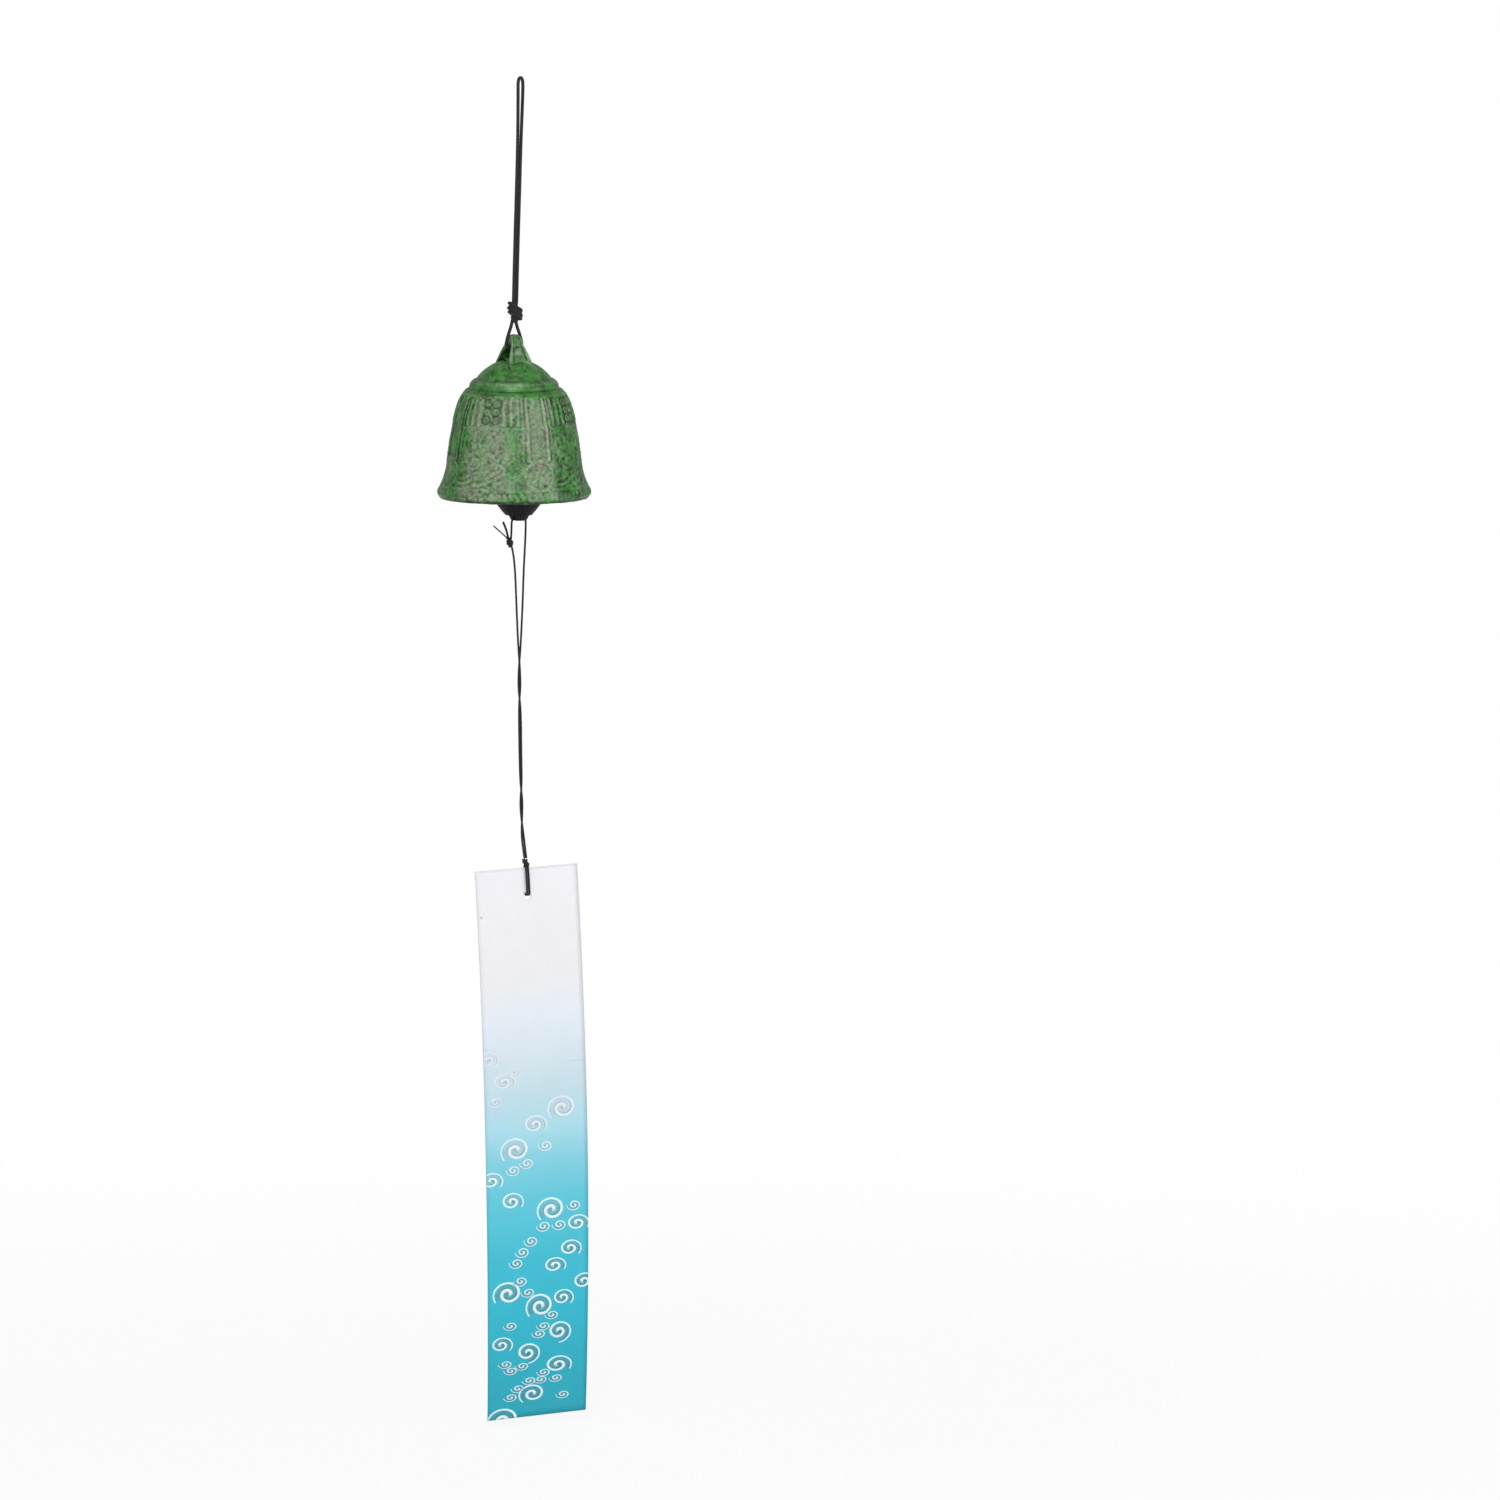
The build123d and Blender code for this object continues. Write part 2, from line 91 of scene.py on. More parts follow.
def add_node(
    tree: bpy.types.NodeTree,
    kind: str,
    inputs: dict[str | int, object] | None = None,
    stops: Sequence[tuple[float, str]] = (),
    **settings: object,
) -> bpy.types.Node:
    """Adds a node with its settings, its inputs and what is linked to them.

    Args:
        tree: the tree that gets the node.
        kind: the node's type name.
        inputs: what feed takes, for each input that isn't left as it is.
        stops: a colour ramp's places and hex colours.
        settings: the node's own properties.

    Returns:
        The new node.
    """
    node = tree.nodes.new(kind)
    for name, value in settings.items():
        setattr(node, name, value)
    feed(node, inputs or {})
    if stops:
        elements = node.color_ramp.elements
        while len(elements) > 1:
            elements.remove(elements[-1])
        elements[0].position, elements[0].color = stops[0][0], srgb(stops[0][1])
        for place, code in stops[1:]:
            elements.new(place).color = srgb(code)
    return node


def new_material(name: str) -> tuple[bpy.types.Material, Adder, bpy.types.Node]:
    """Makes an empty material with its surface shader.

    Args:
        name: what the material is called.

    Returns:
        The material, add_node for its tree, and its surface shader.
    """
    material = bpy.data.materials.new(name)
    material.use_nodes = True
    material.node_tree.nodes.clear()
    add = partial(add_node, material.node_tree)
    surface = add("ShaderNodeBsdfPrincipled")
    add("ShaderNodeOutputMaterial", {"Surface": surface})
    return material, add, surface


def millimetres(add: Adder) -> bpy.types.Node:
    """Gets the place on the piece in millimetres, which every cast pattern is scaled in."""
    place = add("ShaderNodeTexCoord").outputs["Object"]
    return add("ShaderNodeMapping", {"Vector": place, "Scale": (1 / MM, 1 / MM, 1 / MM)})


def map_place(add: Adder) -> tuple[bpy.types.Node, bpy.types.NodeSocket, bpy.types.NodeSocket]:
    """Gets the place on the piece's own UV map, then its U and its V."""
    place = add("ShaderNodeUVMap", uv_map="UVMap")
    split = add("ShaderNodeSeparateXYZ", {0: place})
    return place, split.outputs["X"], split.outputs["Y"]


def sand_bump(
    add: Adder,
    surface: bpy.types.Node,
    place: bpy.types.Node,
    grit: float,
    strength: float,
    depth: float,
    rough: float = 0.5,
) -> None:
    """Lets the mould's sand show through a coat.

    Args:
        add: add_node for the material's tree.
        surface: the surface shader.
        place: the place in millimetres.
        grit: size of a grain in millimetres.
        strength: how clearly it shows, from 0 to 1.
        depth: how deep it is, in metres.
        rough: share of fine grains among the coarse ones.
    """
    grains = {"Vector": place, "Scale": 1 / grit, "Detail": 4, "Roughness": rough}
    sand = add("ShaderNodeTexNoise", grains)
    bump = add("ShaderNodeBump", {"Strength": strength, "Distance": depth, "Height": sand})
    feed(surface, {"Normal": bump})


def ramp_share(value: np.ndarray, low: float, high: float) -> np.ndarray:
    """A smooth step from 0 at low to 1 at high."""
    share = np.clip((value - low) / (high - low), 0, 1)
    return share * share * (3 - 2 * share)


def window(value: np.ndarray, low: float, high: float, edge: float) -> np.ndarray:
    """1 between low and high, and 0 an edge's width outside them."""
    return ramp_share(value, low - edge, low) * (1 - ramp_share(value, high, high + edge))


def peak(value: np.ndarray, middle: float, width: float) -> np.ndarray:
    """A rounded ridge of height 1 at middle."""
    return np.exp(-(((value - middle) / width) ** 2))


def sand_noise(across: np.ndarray, up: np.ndarray, cells: int, rise: float, seed: int) -> np.ndarray:
    """Smooth random unevenness from -1 to 1, which closes on itself round the piece.

    Args:
        across: share of the way round, from 0 to 1.
        up: height in millimetres.
        cells: number of lumps round the piece.
        rise: height of a lump in millimetres.
        seed: which of the patterns.

    Returns:
        One value for each place.
    """
    lumps = np.random.default_rng(seed).uniform(-1, 1, (cells, LUMP_ROWS))
    column, row = (across % 1) * cells, up / rise + ZERO_ROW
    left, low = np.floor(column).astype(int), np.floor(row).astype(int)
    x_share, y_share = ramp_share(column - left, 0, 1), ramp_share(row - low, 0, 1)
    near, next_one = left % cells, (left + 1) % cells
    rows = [lumps[near, low + k] * (1 - x_share) + lumps[next_one, low + k] * x_share for k in (0, 1)]
    return rows[0] * (1 - y_share) + rows[1] * y_share


def wound_faces(first: int, rows: int, width: int, wraps: bool = True, flip: bool = False) -> list[list[int]]:
    """Joins rings of corners into a tube and closes its ends.

    Args:
        first: number of the first ring's first corner.
        rows: number of rings.
        width: number of corners in each ring.
        wraps: whether the last corner is joined to the first, and not laid on it.
        flip: whether the faces are turned over.

    Returns:
        The corners of each face.
    """
    count = width if wraps else width - 1
    faces = []
    for row in range(rows - 1):
        low = first + row * width
        for k in range(count):
            n = (k + 1) % width
            faces.append([low + k, low + n, low + n + width, low + k + width])
    last = first + (rows - 1) * width
    faces.append([first + k for k in reversed(range(count))])
    faces.append([last + k for k in range(count)])
    return [face[::-1] for face in faces] if flip else faces


def new_piece(
    name: str,
    points: np.ndarray,
    faces: Sequence[Sequence[int]],
    material: bpy.types.Material,
) -> bpy.types.Object:
    """Makes a smooth mesh piece at the origin.

    Args:
        name: the piece's name.
        points: its corners in millimetres.
        faces: the corners of each face.
        material: its material.

    Returns:
        The piece.
    """
    mesh = bpy.data.meshes.new(name)
    mesh.from_pydata((np.asarray(points) * MM).tolist(), [], [list(face) for face in faces])
    mesh.materials.append(material)
    mesh.shade_smooth()
    mesh.update()
    piece = bpy.data.objects.new(name, mesh)
    bpy.context.scene.collection.objects.link(piece)
    return piece


def set_values(piece: bpy.types.Object, name: str, values: np.ndarray) -> None:
    """Gives each corner of a piece a value that its material reads."""
    field = piece.data.attributes.new(name, "FLOAT", "POINT")
    field.data.foreach_set("value", np.asarray(values, dtype=np.float32))


def set_places(piece: bpy.types.Object, places: np.ndarray) -> None:
    """Gives each corner of a piece its place on the piece's UV map."""
    layer = piece.data.uv_layers.new(name="UVMap")
    owners = np.zeros(len(piece.data.loops), dtype=np.int32)
    piece.data.loops.foreach_get("vertex_index", owners)
    layer.data.foreach_set("uv", places[owners].ravel())


def weld_seam(piece: bpy.types.Object) -> None:
    """Joins the corners that lie on each other, and points the faces outward."""
    shape = bmesh.new()
    shape.from_mesh(piece.data)
    bmesh.ops.remove_doubles(shape, verts=shape.verts, dist=SEAM_GAP)
    bmesh.ops.recalc_face_normals(shape, faces=shape.faces)
    shape.to_mesh(piece.data)
    shape.free()


def seat(piece: bpy.types.Object, body: str, nodes: Sequence[str] = ()) -> None:
    """Makes a finished piece ride on its body and stand for its nodes.

    Args:
        piece: the finished piece.
        body: the body that carries it.
        nodes: the nodes that it stands for.
    """
    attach(piece, body)
    if nodes:
        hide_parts(*nodes)
    piece.data.calc_loop_triangles()
    log.info("%s on %s, %d triangles", piece.name, body, len(piece.data.loop_triangles))


# Finishes


@dataclass(frozen=True)
class GreenLacquer:
    """Green baked lacquer over sand-cast iron: an uneven satin skin, dusty where it was rubbed, with painted
    shade in its hollows and a painted highlight along the bead.
    """

    enamel: str = "#317529"
    deep_enamel: str = "#1F4D1C"
    light_enamel: str = "#478B3C"
    dust: str = "#6E8764"
    pale_dust: str = "#8EA884"
    pink_dust: str = "#80796E"
    # The hollows' colour: part darker lacquer, part painted shade
    recess_and_shade: str = "#101E0B"
    # Pale rubbed edges, and also the painted highlight along the bead's crown
    edge: str = "#9FB393"
    # Lumps per millimetre: lacquer pools in lumps of about 5 mm, its dust lies in flecks of about 1.6 mm,
    # bare sand dust in clouds of about 6 mm, and the sand blurred the pattern in stretches of about 3 mm
    pools: float = 0.2
    flecks: float = 0.62
    clouds: float = 0.17
    stretches: float = 0.33
    # Sand of about half a millimetre shows through
    grit: float = 0.55

    def make(self) -> bpy.types.Material:
        """Returns the material. It reads the casting's own dust and rubbing, with the painted shade and
        highlights carried in them, drawn with its relief.
        """
        material, add, surface = new_material("green_baked_lacquer_on_cast_iron")
        place = millimetres(add)
        dusty, coat = self.coat(add, place)
        gloss = add("ShaderNodeMapRange", {"Value": dusty, "To Min": 0.3, "To Max": 0.56})
        colour = self.worn_and_shaded(add, place, dusty, coat)
        feed(surface, {"Base Color": colour, "Roughness": gloss, "Specular IOR Level": 0.45})
        sand_bump(add, surface, place, self.grit, strength=0.55, depth=0.00016, rough=0.6)
        return material

    def coat(self, add: Adder, place: bpy.types.Node) -> tuple[bpy.types.Node, bpy.types.NodeSocket]:
        """Draws the pooled lacquer and the dust on it.

        Args:
            add: add_node for the material's tree.
            place: the place in millimetres.

        Returns:
            How dusty each place is, and its colour.
        """
        # Scale, detail and roughness of each
        kinds = ((self.pools, 5, 0.62), (self.flecks, 7, 0.72), (self.clouds, 6, 0.68))
        pools, flecks, clouds = (
            add("ShaderNodeTexNoise", {"Vector": place, "Scale": scale, "Detail": detail, "Roughness": rough})
            for scale, detail, rough in kinds
        )
        greens = [(0.38, self.deep_enamel), (0.5, self.enamel), (0.66, self.light_enamel)]
        greys = [(0.36, self.enamel), (0.45, self.dust), (0.6, self.pale_dust)]
        skin = add("ShaderNodeValToRGB", {0: pools}, greens)
        powder = add("ShaderNodeValToRGB", {0: flecks}, greys)
        thick_cloud = {"Value": clouds, "From Min": 0.47, "From Max": 0.6, "To Max": 0.75}
        cloudy = add("ShaderNodeMapRange", thick_cloud)
        # A mix of colours has them at its inputs 6 and 7 and its output 2
        powder = add("ShaderNodeMix", {0: cloudy, 6: powder, 7: srgb(self.pink_dust)}, data_type="RGBA")
        lying = add("ShaderNodeAttribute", attribute_name="dust").outputs["Fac"]
        speckled = add("ShaderNodeMath", {0: flecks, 1: 2.2, 2: -1.1}, operation="MULTIPLY_ADD")
        dusty = add("ShaderNodeMath", {0: lying, 1: speckled}, operation="ADD", use_clamp=True)
        dusty = add("ShaderNodeMath", {0: dusty, 1: 0.88}, operation="MULTIPLY")
        coat = add("ShaderNodeMix", {0: dusty, 6: skin, 7: powder.outputs[2]}, data_type="RGBA")
        return dusty, coat.outputs[2]

    def worn_and_shaded(
        self, add: Adder, place: bpy.types.Node, dusty: bpy.types.Node, coat: bpy.types.NodeSocket
    ) -> bpy.types.NodeSocket:
        """Darkens the hollows with darker lacquer and painted shade, and rubs the edges pale, with a painted
        highlight along the bead.

        Args:
            add: add_node for the material's tree.
            place: the place in millimetres.
            dusty: how dusty each place is, because dust fills the hollows.
            coat: the coat's colour.

        Returns:
            The colour.
        """
        stretch = {"Vector": place, "Scale": self.stretches, "Detail": 4, "Roughness": 0.6}
        blur = add("ShaderNodeTexNoise", stretch)
        unblurred = {"Value": blur, "From Min": 0.36, "From Max": 0.62, "To Min": 0.4, "To Max": 1.25}
        clear = add("ShaderNodeMapRange", unblurred)
        wear_and_shade = add("ShaderNodeAttribute", attribute_name="wear_and_shade").outputs["Fac"]
        wear_and_shade = add("ShaderNodeMath", {0: wear_and_shade, 1: clear}, operation="MULTIPLY")
        # Below zero the hollows and shaded places take the dark colour, part lacquer and part painted shade,
        # less where dust fills them
        sunken = {"Value": wear_and_shade, "From Min": -0.03, "From Max": -0.75, "To Max": 0.95}
        hollow_shade = add("ShaderNodeMapRange", sunken)
        filled = add("ShaderNodeMath", {0: dusty, 1: -0.55, 2: 1.0}, operation="MULTIPLY_ADD")
        hollow_shade = add("ShaderNodeMath", {0: hollow_shade, 1: filled}, operation="MULTIPLY")
        shaded = add("ShaderNodeMix", {0: hollow_shade, 6: coat, 7: srgb(self.recess_and_shade)}, data_type="RGBA").outputs[2]
        # Above zero rubbed edges turn pale, and so does the painted highlight along the bead
        rubbed = add("ShaderNodeMapRange", {"Value": wear_and_shade, "From Min": 0.15, "From Max": 1.1, "To Max": 0.55})
        paler = add("ShaderNodeMath", {0: dusty, 1: 0.6, 2: 0.45}, operation="MULTIPLY_ADD")
        rubbed = add("ShaderNodeMath", {0: rubbed, 1: paler}, operation="MULTIPLY")
        return add("ShaderNodeMix", {0: rubbed, 6: shaded, 7: srgb(self.edge)}, data_type="RGBA").outputs[2]


@dataclass(frozen=True)
class BlackLacquer:
    """Black baked lacquer on cast iron: nearly black with a slight violet cast, satin and finely pitted."""

    coat: str = "#060508"
    thin_coat: str = "#0B0A0D"
    rubbed: str = "#151318"
    # Lumps per millimetre: it was rubbed in patches of about 2 mm
    patches: float = 0.45
    grit: float = 0.5

    def make(self) -> bpy.types.Material:
        """Returns the material."""
        material, add, surface = new_material("black_baked_lacquer_on_cast_iron")
        place = millimetres(add)
        patches = add(
            "ShaderNodeTexNoise", {"Vector": place, "Scale": self.patches, "Detail": 6, "Roughness": 0.7}
        )
        blacks = [(0.42, self.coat), (0.62, self.thin_coat), (0.74, self.rubbed)]
        colour = add("ShaderNodeValToRGB", {0: patches}, blacks)
        gloss = add("ShaderNodeMapRange", {"Value": patches, "To Min": 0.36, "To Max": 0.58})
        feed(surface, {"Base Color": colour, "Roughness": gloss, "Specular IOR Level": 0.2})
        sand_bump(add, surface, place, self.grit, strength=0.5, depth=0.00012)
        return material


@dataclass(frozen=True)
class DrawnWire:
    """Drawn iron wire gone dull in the mould's heat: grey-brown metal with fine scale."""

    metal: str = "#6E6660"
    scale: str = "#38302A"
    # Lumps per millimetre: the scale lies in flakes of about 0.6 mm
    flakes: float = 1.6

    def make(self) -> bpy.types.Material:
        """Returns the material."""
        material, add, surface = new_material("drawn_iron_wire")
        place = millimetres(add)
        flakes = add(
            "ShaderNodeTexNoise", {"Vector": place, "Scale": self.flakes, "Detail": 6, "Roughness": 0.75}
        )
        colour = add("ShaderNodeValToRGB", {0: flakes}, [(0.4, self.scale), (0.6, self.metal)])
        gloss = add("ShaderNodeMapRange", {"Value": flakes, "To Min": 0.6, "To Max": 0.35})
        feed(surface, {"Base Color": colour, "Metallic": 0.8, "Roughness": gloss})
        return material


class Make(Enum):
    """How a cord is made."""

    BRAIDED = "braided"
    TWISTED = "twisted"


@dataclass(frozen=True)
class CordFinish:
    """Black polyester cord: matt yarns with a faint painted grey glint along their crowns and painted shade
    between them.

    The yarns follow the piece's UV map, once round in U and millimetres in V.
    """

    name: str
    make: Make
    dark: str = "#09090B"
    dull: str = "#141417"
    glint: str = "#2C2C31"
    yarns: int = 4
    pitch: float = 5.0
    yarn_depth: float = 0.0001

    def material(self) -> bpy.types.Material:
        """Returns the material."""
        material, add, surface = new_material(self.name)
        _, around, along = map_place(add)
        turns = FULL_TURN * self.yarns
        ways = (1, -1) if self.make is Make.BRAIDED else (1,)
        waves = []
        for way in ways:
            lean = add("ShaderNodeMath", {0: along, 1: way * turns / self.pitch}, operation="MULTIPLY")
            angle = add("ShaderNodeMath", {0: around, 1: turns, 2: lean}, operation="MULTIPLY_ADD")
            waves.append(add("ShaderNodeMath", {0: angle}, operation="SINE"))
        crown = waves[0]
        if self.make is Make.BRAIDED:
            crown = add("ShaderNodeMath", {0: waves[0], 1: waves[1]}, operation="MAXIMUM")
        share = add("ShaderNodeMapRange", {"Value": crown, "From Min": -0.6, "From Max": 1.6})
        # Darkest between the yarns as painted shade, palest on their crowns as a painted glint
        greys = [(0.15, self.dark), (0.7, self.dull), (1.0, self.glint)]
        colour = add("ShaderNodeValToRGB", {0: share}, greys)
        bump = add("ShaderNodeBump", {"Strength": 0.7, "Distance": self.yarn_depth, "Height": share})
        feed(surface, {"Base Color": colour, "Normal": bump, "Roughness": 0.72})
        feed(surface, {"Sheen Weight": 0.15, "Sheen Roughness": 0.4})
        return material


@dataclass(frozen=True)
class PrintedCard:
    """Smooth printed card: near white at the top, then light blue that deepens to the foot.

    The colour follows the piece's UV map, whose V is the share of the way down the card. Its marks, a speck
    and a short crease drawn as a line of painted shade beside a painted lit edge, have their places and half
    sizes on the same map, and their depths.
    """

    marks: tuple[tuple[Pair, Pair, float], ...] = (
        ((0.035, 0.084), (0.012, 0.0028), 0.45),
        # The crease: a faint painted lit line, and a line of painted shade beside it
        ((0.89, 0.3515), (0.1, 0.0013), -0.035),
        ((0.92, 0.3555), (0.08, 0.0014), 0.09),
    )
    tints: tuple[tuple[float, str], ...] = (
        (0.0, "#ECEBF1"), (0.2, "#E9E9EC"), (0.28, "#DFE8F0"), (0.34, "#D2E1EA"), (0.41, "#BFDBE6"),
        (0.475, "#A6DAE8"), (0.53, "#7FCFE0"), (0.6, "#5AC7DB"), (0.71, "#32BCD2"), (0.79, "#26B8D0"),
        (0.88, "#1AAFC5"), (1.0, "#12A4B7"),
    )  # fmt: skip
    # Lumps per millimetre: fibres of about 0.6 mm lie under the print, and wide faint scuffs on it
    fibres: float = 1.6
    scuffs: float = 0.07
    fibre_depth: float = 0.00005

    def make(self) -> bpy.types.Material:
        """Returns the material."""
        material, add, surface = new_material("smooth_printed_card")
        place, _, down = map_place(add)
        tint = add("ShaderNodeValToRGB", {0: down}, self.tints)
        millis = millimetres(add)
        fibre = add("ShaderNodeTexNoise", {"Vector": millis, "Scale": self.fibres, "Detail": 4})
        wide = {"Vector": millis, "Scale": self.scuffs, "Detail": 5, "Roughness": 0.7}
        scuff = add("ShaderNodeTexNoise", wide)
        middling = {"From Min": 0.3, "From Max": 0.7}
        shade = add("ShaderNodeMapRange", {"Value": scuff, **middling, "To Min": 0.965})
        grain = add("ShaderNodeMapRange", {"Value": fibre, **middling, "To Min": 0.98})
        tone = add("ShaderNodeMath", {0: shade, 1: grain}, operation="MULTIPLY")
        for spot, size, depth in self.marks:
            where = {"Vector": place, "Location": (*spot, 0), "Scale": (*size, 1)}
            near = add("ShaderNodeMapping", where, vector_type="TEXTURE")
            far = add("ShaderNodeVectorMath", {0: near}, operation="LENGTH").outputs["Value"]
            fading = {"Value": far, "From Min": 0.6, "From Max": 1.0, "To Min": 1 - depth}
            mark = add("ShaderNodeMapRange", fading)
            tone = add("ShaderNodeMath", {0: tone, 1: mark}, operation="MULTIPLY")
        colour = add("ShaderNodeVectorMath", {0: tint, 1: tone}, operation="MULTIPLY")
        bump = add("ShaderNodeBump", {"Strength": 0.12, "Distance": self.fibre_depth, "Height": fibre})
        gloss = add("ShaderNodeMapRange", {"Value": scuff, "To Min": 0.42, "To Max": 0.6})
        feed(surface, {"Base Color": colour, "Normal": bump, "Roughness": gloss})
        return material


@dataclass(frozen=True)
class PrintInk:
    """One ink of the print: an even film that the card's colour comes through, so it follows the way down."""

    name: str
    tones: tuple[tuple[float, str], ...]

    def make(self) -> bpy.types.Material:
        """Returns the material."""
        material, add, surface = new_material(self.name)
        _, _, down = map_place(add)
        feed(surface, {"Base Color": add("ShaderNodeValToRGB", {0: down}, self.tones), "Roughness": 0.5})
        return material


# Nearly opaque white, and a thin grey between its arms
WHITE_INK = PrintInk(
    "opaque_white_ink", ((0.33, "#E4EAF3"), (0.45, "#E2EFF7"), (0.6, "#E6F9FD"), (1.0, "#DDF4FA"))
)
GREY_INK = PrintInk(
    "thin_grey_ink",
    (
        (0.36, "#D1DFE7"), (0.44, "#BED6DF"), (0.5, "#A8CFDA"), (0.56, "#86C3CE"),
        (0.62, "#69B7C4"), (0.7, "#55A9B7"), (0.8, "#4DA1AE"), (1.0, "#3F92A0"),
    ),
)  # fmt: skip


# Cords


def spline_points(name: str, route: Sequence[Point]) -> np.ndarray:
    """Follows a cord's smooth line through its route.

    Args:
        name: what the cord is called.
        route: the line's control points in millimetres.

    Returns:
        Points along the line, in millimetres.
    """
    curve = bpy.data.curves.new(name, "CURVE")
    curve.dimensions = "3D"
    spline = curve.splines.new("NURBS")
    spline.points.add(len(route) - 1)
    for place, point in zip(spline.points, route):
        place.co = (*(value * MM for value in point), 1)
    spline.order_u = 3
    spline.use_endpoint_u = True
    spline.resolution_u = 24
    line = bpy.data.objects.new(name, curve)
    bpy.context.scene.collection.objects.link(line)
    bpy.context.view_layer.update()
    mesh = bpy.data.meshes.new_from_object(line.evaluated_get(bpy.context.evaluated_depsgraph_get()))
    points = np.array([tuple(corner.co) for corner in mesh.vertices]) / MM
    bpy.data.objects.remove(line)
    bpy.data.curves.remove(curve)
    bpy.data.meshes.remove(mesh)
    return points


def run_along(points: np.ndarray) -> np.ndarray:
    """How far along its line each point is."""
    return np.concatenate([[0], np.cumsum(np.linalg.norm(np.diff(points, axis=0), axis=1))])


def even_points(points: np.ndarray, step: float, fewest: int = 4) -> np.ndarray:
    """Spaces points evenly along their line.

    Args:
        points: the line's points.
        step: about how far apart the new ones are.
        fewest: how many there are at least.

    Returns:
        The evenly spaced points.
    """
    run = run_along(points)
    places = np.linspace(0, run[-1], max(fewest, round(run[-1] / step)))
    return np.stack([np.interp(places, run, points[:, axis]) for axis in range(3)], axis=1)


def carried_frame(points: np.ndarray, side: Point) -> tuple[np.ndarray, np.ndarray]:
    """Carries a sideways direction along a line without twisting it.

    Args:
        points: the line's points.
        side: the direction at its start.

    Returns:
        The sideways directions, and those square to them and to the line.
    """
    along = np.gradient(points, axis=0)
    along /= np.linalg.norm(along, axis=1, keepdims=True)
    sides = np.zeros_like(points)
    current = np.array(side, dtype=float)
    for number, direction in enumerate(along):
        current = current - direction * current.dot(direction)
        current /= np.linalg.norm(current)
        sides[number] = current
    return sides, np.cross(along, sides)


@dataclass(frozen=True)
class Tube:
    """A cord's round body with the relief of its yarns. Sizes are in millimetres."""

    diameter: float
    finish: CordFinish
    slot: str
    around: int = 14
    step: float = 0.3
    relief: float = 0.05
    # How far its ends close, as a share, and the direction that its first ring starts from
    rounding: float = 0.85
    first_side: Point = (0.3, 1.0, 0.2)

    def rings(
        self, line: np.ndarray, first: int, share: float = 1.0
    ) -> tuple[np.ndarray, list[list[int]], np.ndarray]:
        """Lays rings along a line and closes its ends.

        Args:
            line: the middle line's points.
            first: number of the first new corner.
            share: the line's thickness, as a share of the tube's.

        Returns:
            The corners, the faces, and the UV place of each corner.
        """
        line = even_points(line, self.step)
        sides, ups = carried_frame(line, self.first_side)
        run = run_along(line)
        width = self.around + 1
        turn, place = np.meshgrid(np.linspace(0, FULL_TURN, width), run)
        lean = FULL_TURN * place / self.finish.pitch
        crown = np.sin(self.finish.yarns * (turn + lean))
        if self.finish.make is Make.BRAIDED:
            crown = np.maximum(crown, np.sin(self.finish.yarns * (turn - lean)))
        radius = self.diameter * share / 2 * (1 + self.relief * (crown - 0.5))
        ends = np.minimum(run, run[-1] - run) / (self.diameter * share / 2)
        radius *= np.sqrt(1 - (1 - np.clip(ends, 0, 1)) ** 2 * self.rounding)[:, None]
        offset = np.cos(turn)[:, :, None] * sides[:, None] + np.sin(turn)[:, :, None] * ups[:, None]
        corners = (line[:, None] + radius[:, :, None] * offset).reshape(-1, 3)
        uv = np.stack([turn / 2 / math.pi, place], axis=2).reshape(-1, 2)
        return corners, wound_faces(first, len(line), width, wraps=False), uv

    def piece(self, name: str, lines: Sequence[np.ndarray], shares: Sequence[float] = ()) -> bpy.types.Object:
        """Makes one piece of one or more lines.

        Args:
            name: the piece's name.
            lines: each line's points, in millimetres.
            shares: each line's thickness as a share of the tube's, where they differ.

        Returns:
            The piece.
        """
        corners, faces, uvs = [], [], []
        for line, share in zip(lines, shares or [1.0] * len(lines)):
            points, sides, uv = self.rings(line, sum(len(part) for part in corners), share)
            corners.append(points)
            faces += sides
            uvs.append(uv)
        cords = new_piece(name, np.concatenate(corners), faces, FINISHES[self.finish])
        set_places(cords, np.concatenate(uvs))
        weld_seam(cords)
        return cords


BRAID = CordFinish("black_braided_cord", Make.BRAIDED)
STRING = CordFinish("black_twisted_string", Make.TWISTED, yarns=3, pitch=3.4)
FINISHES: dict[CordFinish, bpy.types.Material] = {}

HANGING_CORD = Tube(1.4, BRAID, "black_cord")
SHORT_STRING = Tube(0.9, STRING, "black_string", around=12, step=0.25, relief=0.08)
LONG_STRING = replace(SHORT_STRING, step=0.3)


@dataclass
class Tied:
    """What a stretch of cord and a knot have in common."""

    name: str
    body: str
    node: str
    tube: Tube

    def lay(self, lines: Sequence[np.ndarray]) -> bpy.types.Object:
        """Makes the piece along its lines and seats it on its body."""
        piece = self.tube.piece(self.name, lines)
        seat(piece, self.body, [self.node])
        return piece


@dataclass
class Cord(Tied):
    """One stretch of cord, with its length and its route in millimetres."""

    length: float
    route: Sequence[Point]

    def build(self, with_pieces: Sequence[bpy.types.Object] = ()) -> bpy.types.Object:
        """Args:
            with_pieces: the pieces that are on it; it is not used.

        Returns:
            The cord's piece.
        """
        line = spline_points(self.name, self.route)
        piece = self.lay([line])
        return piece


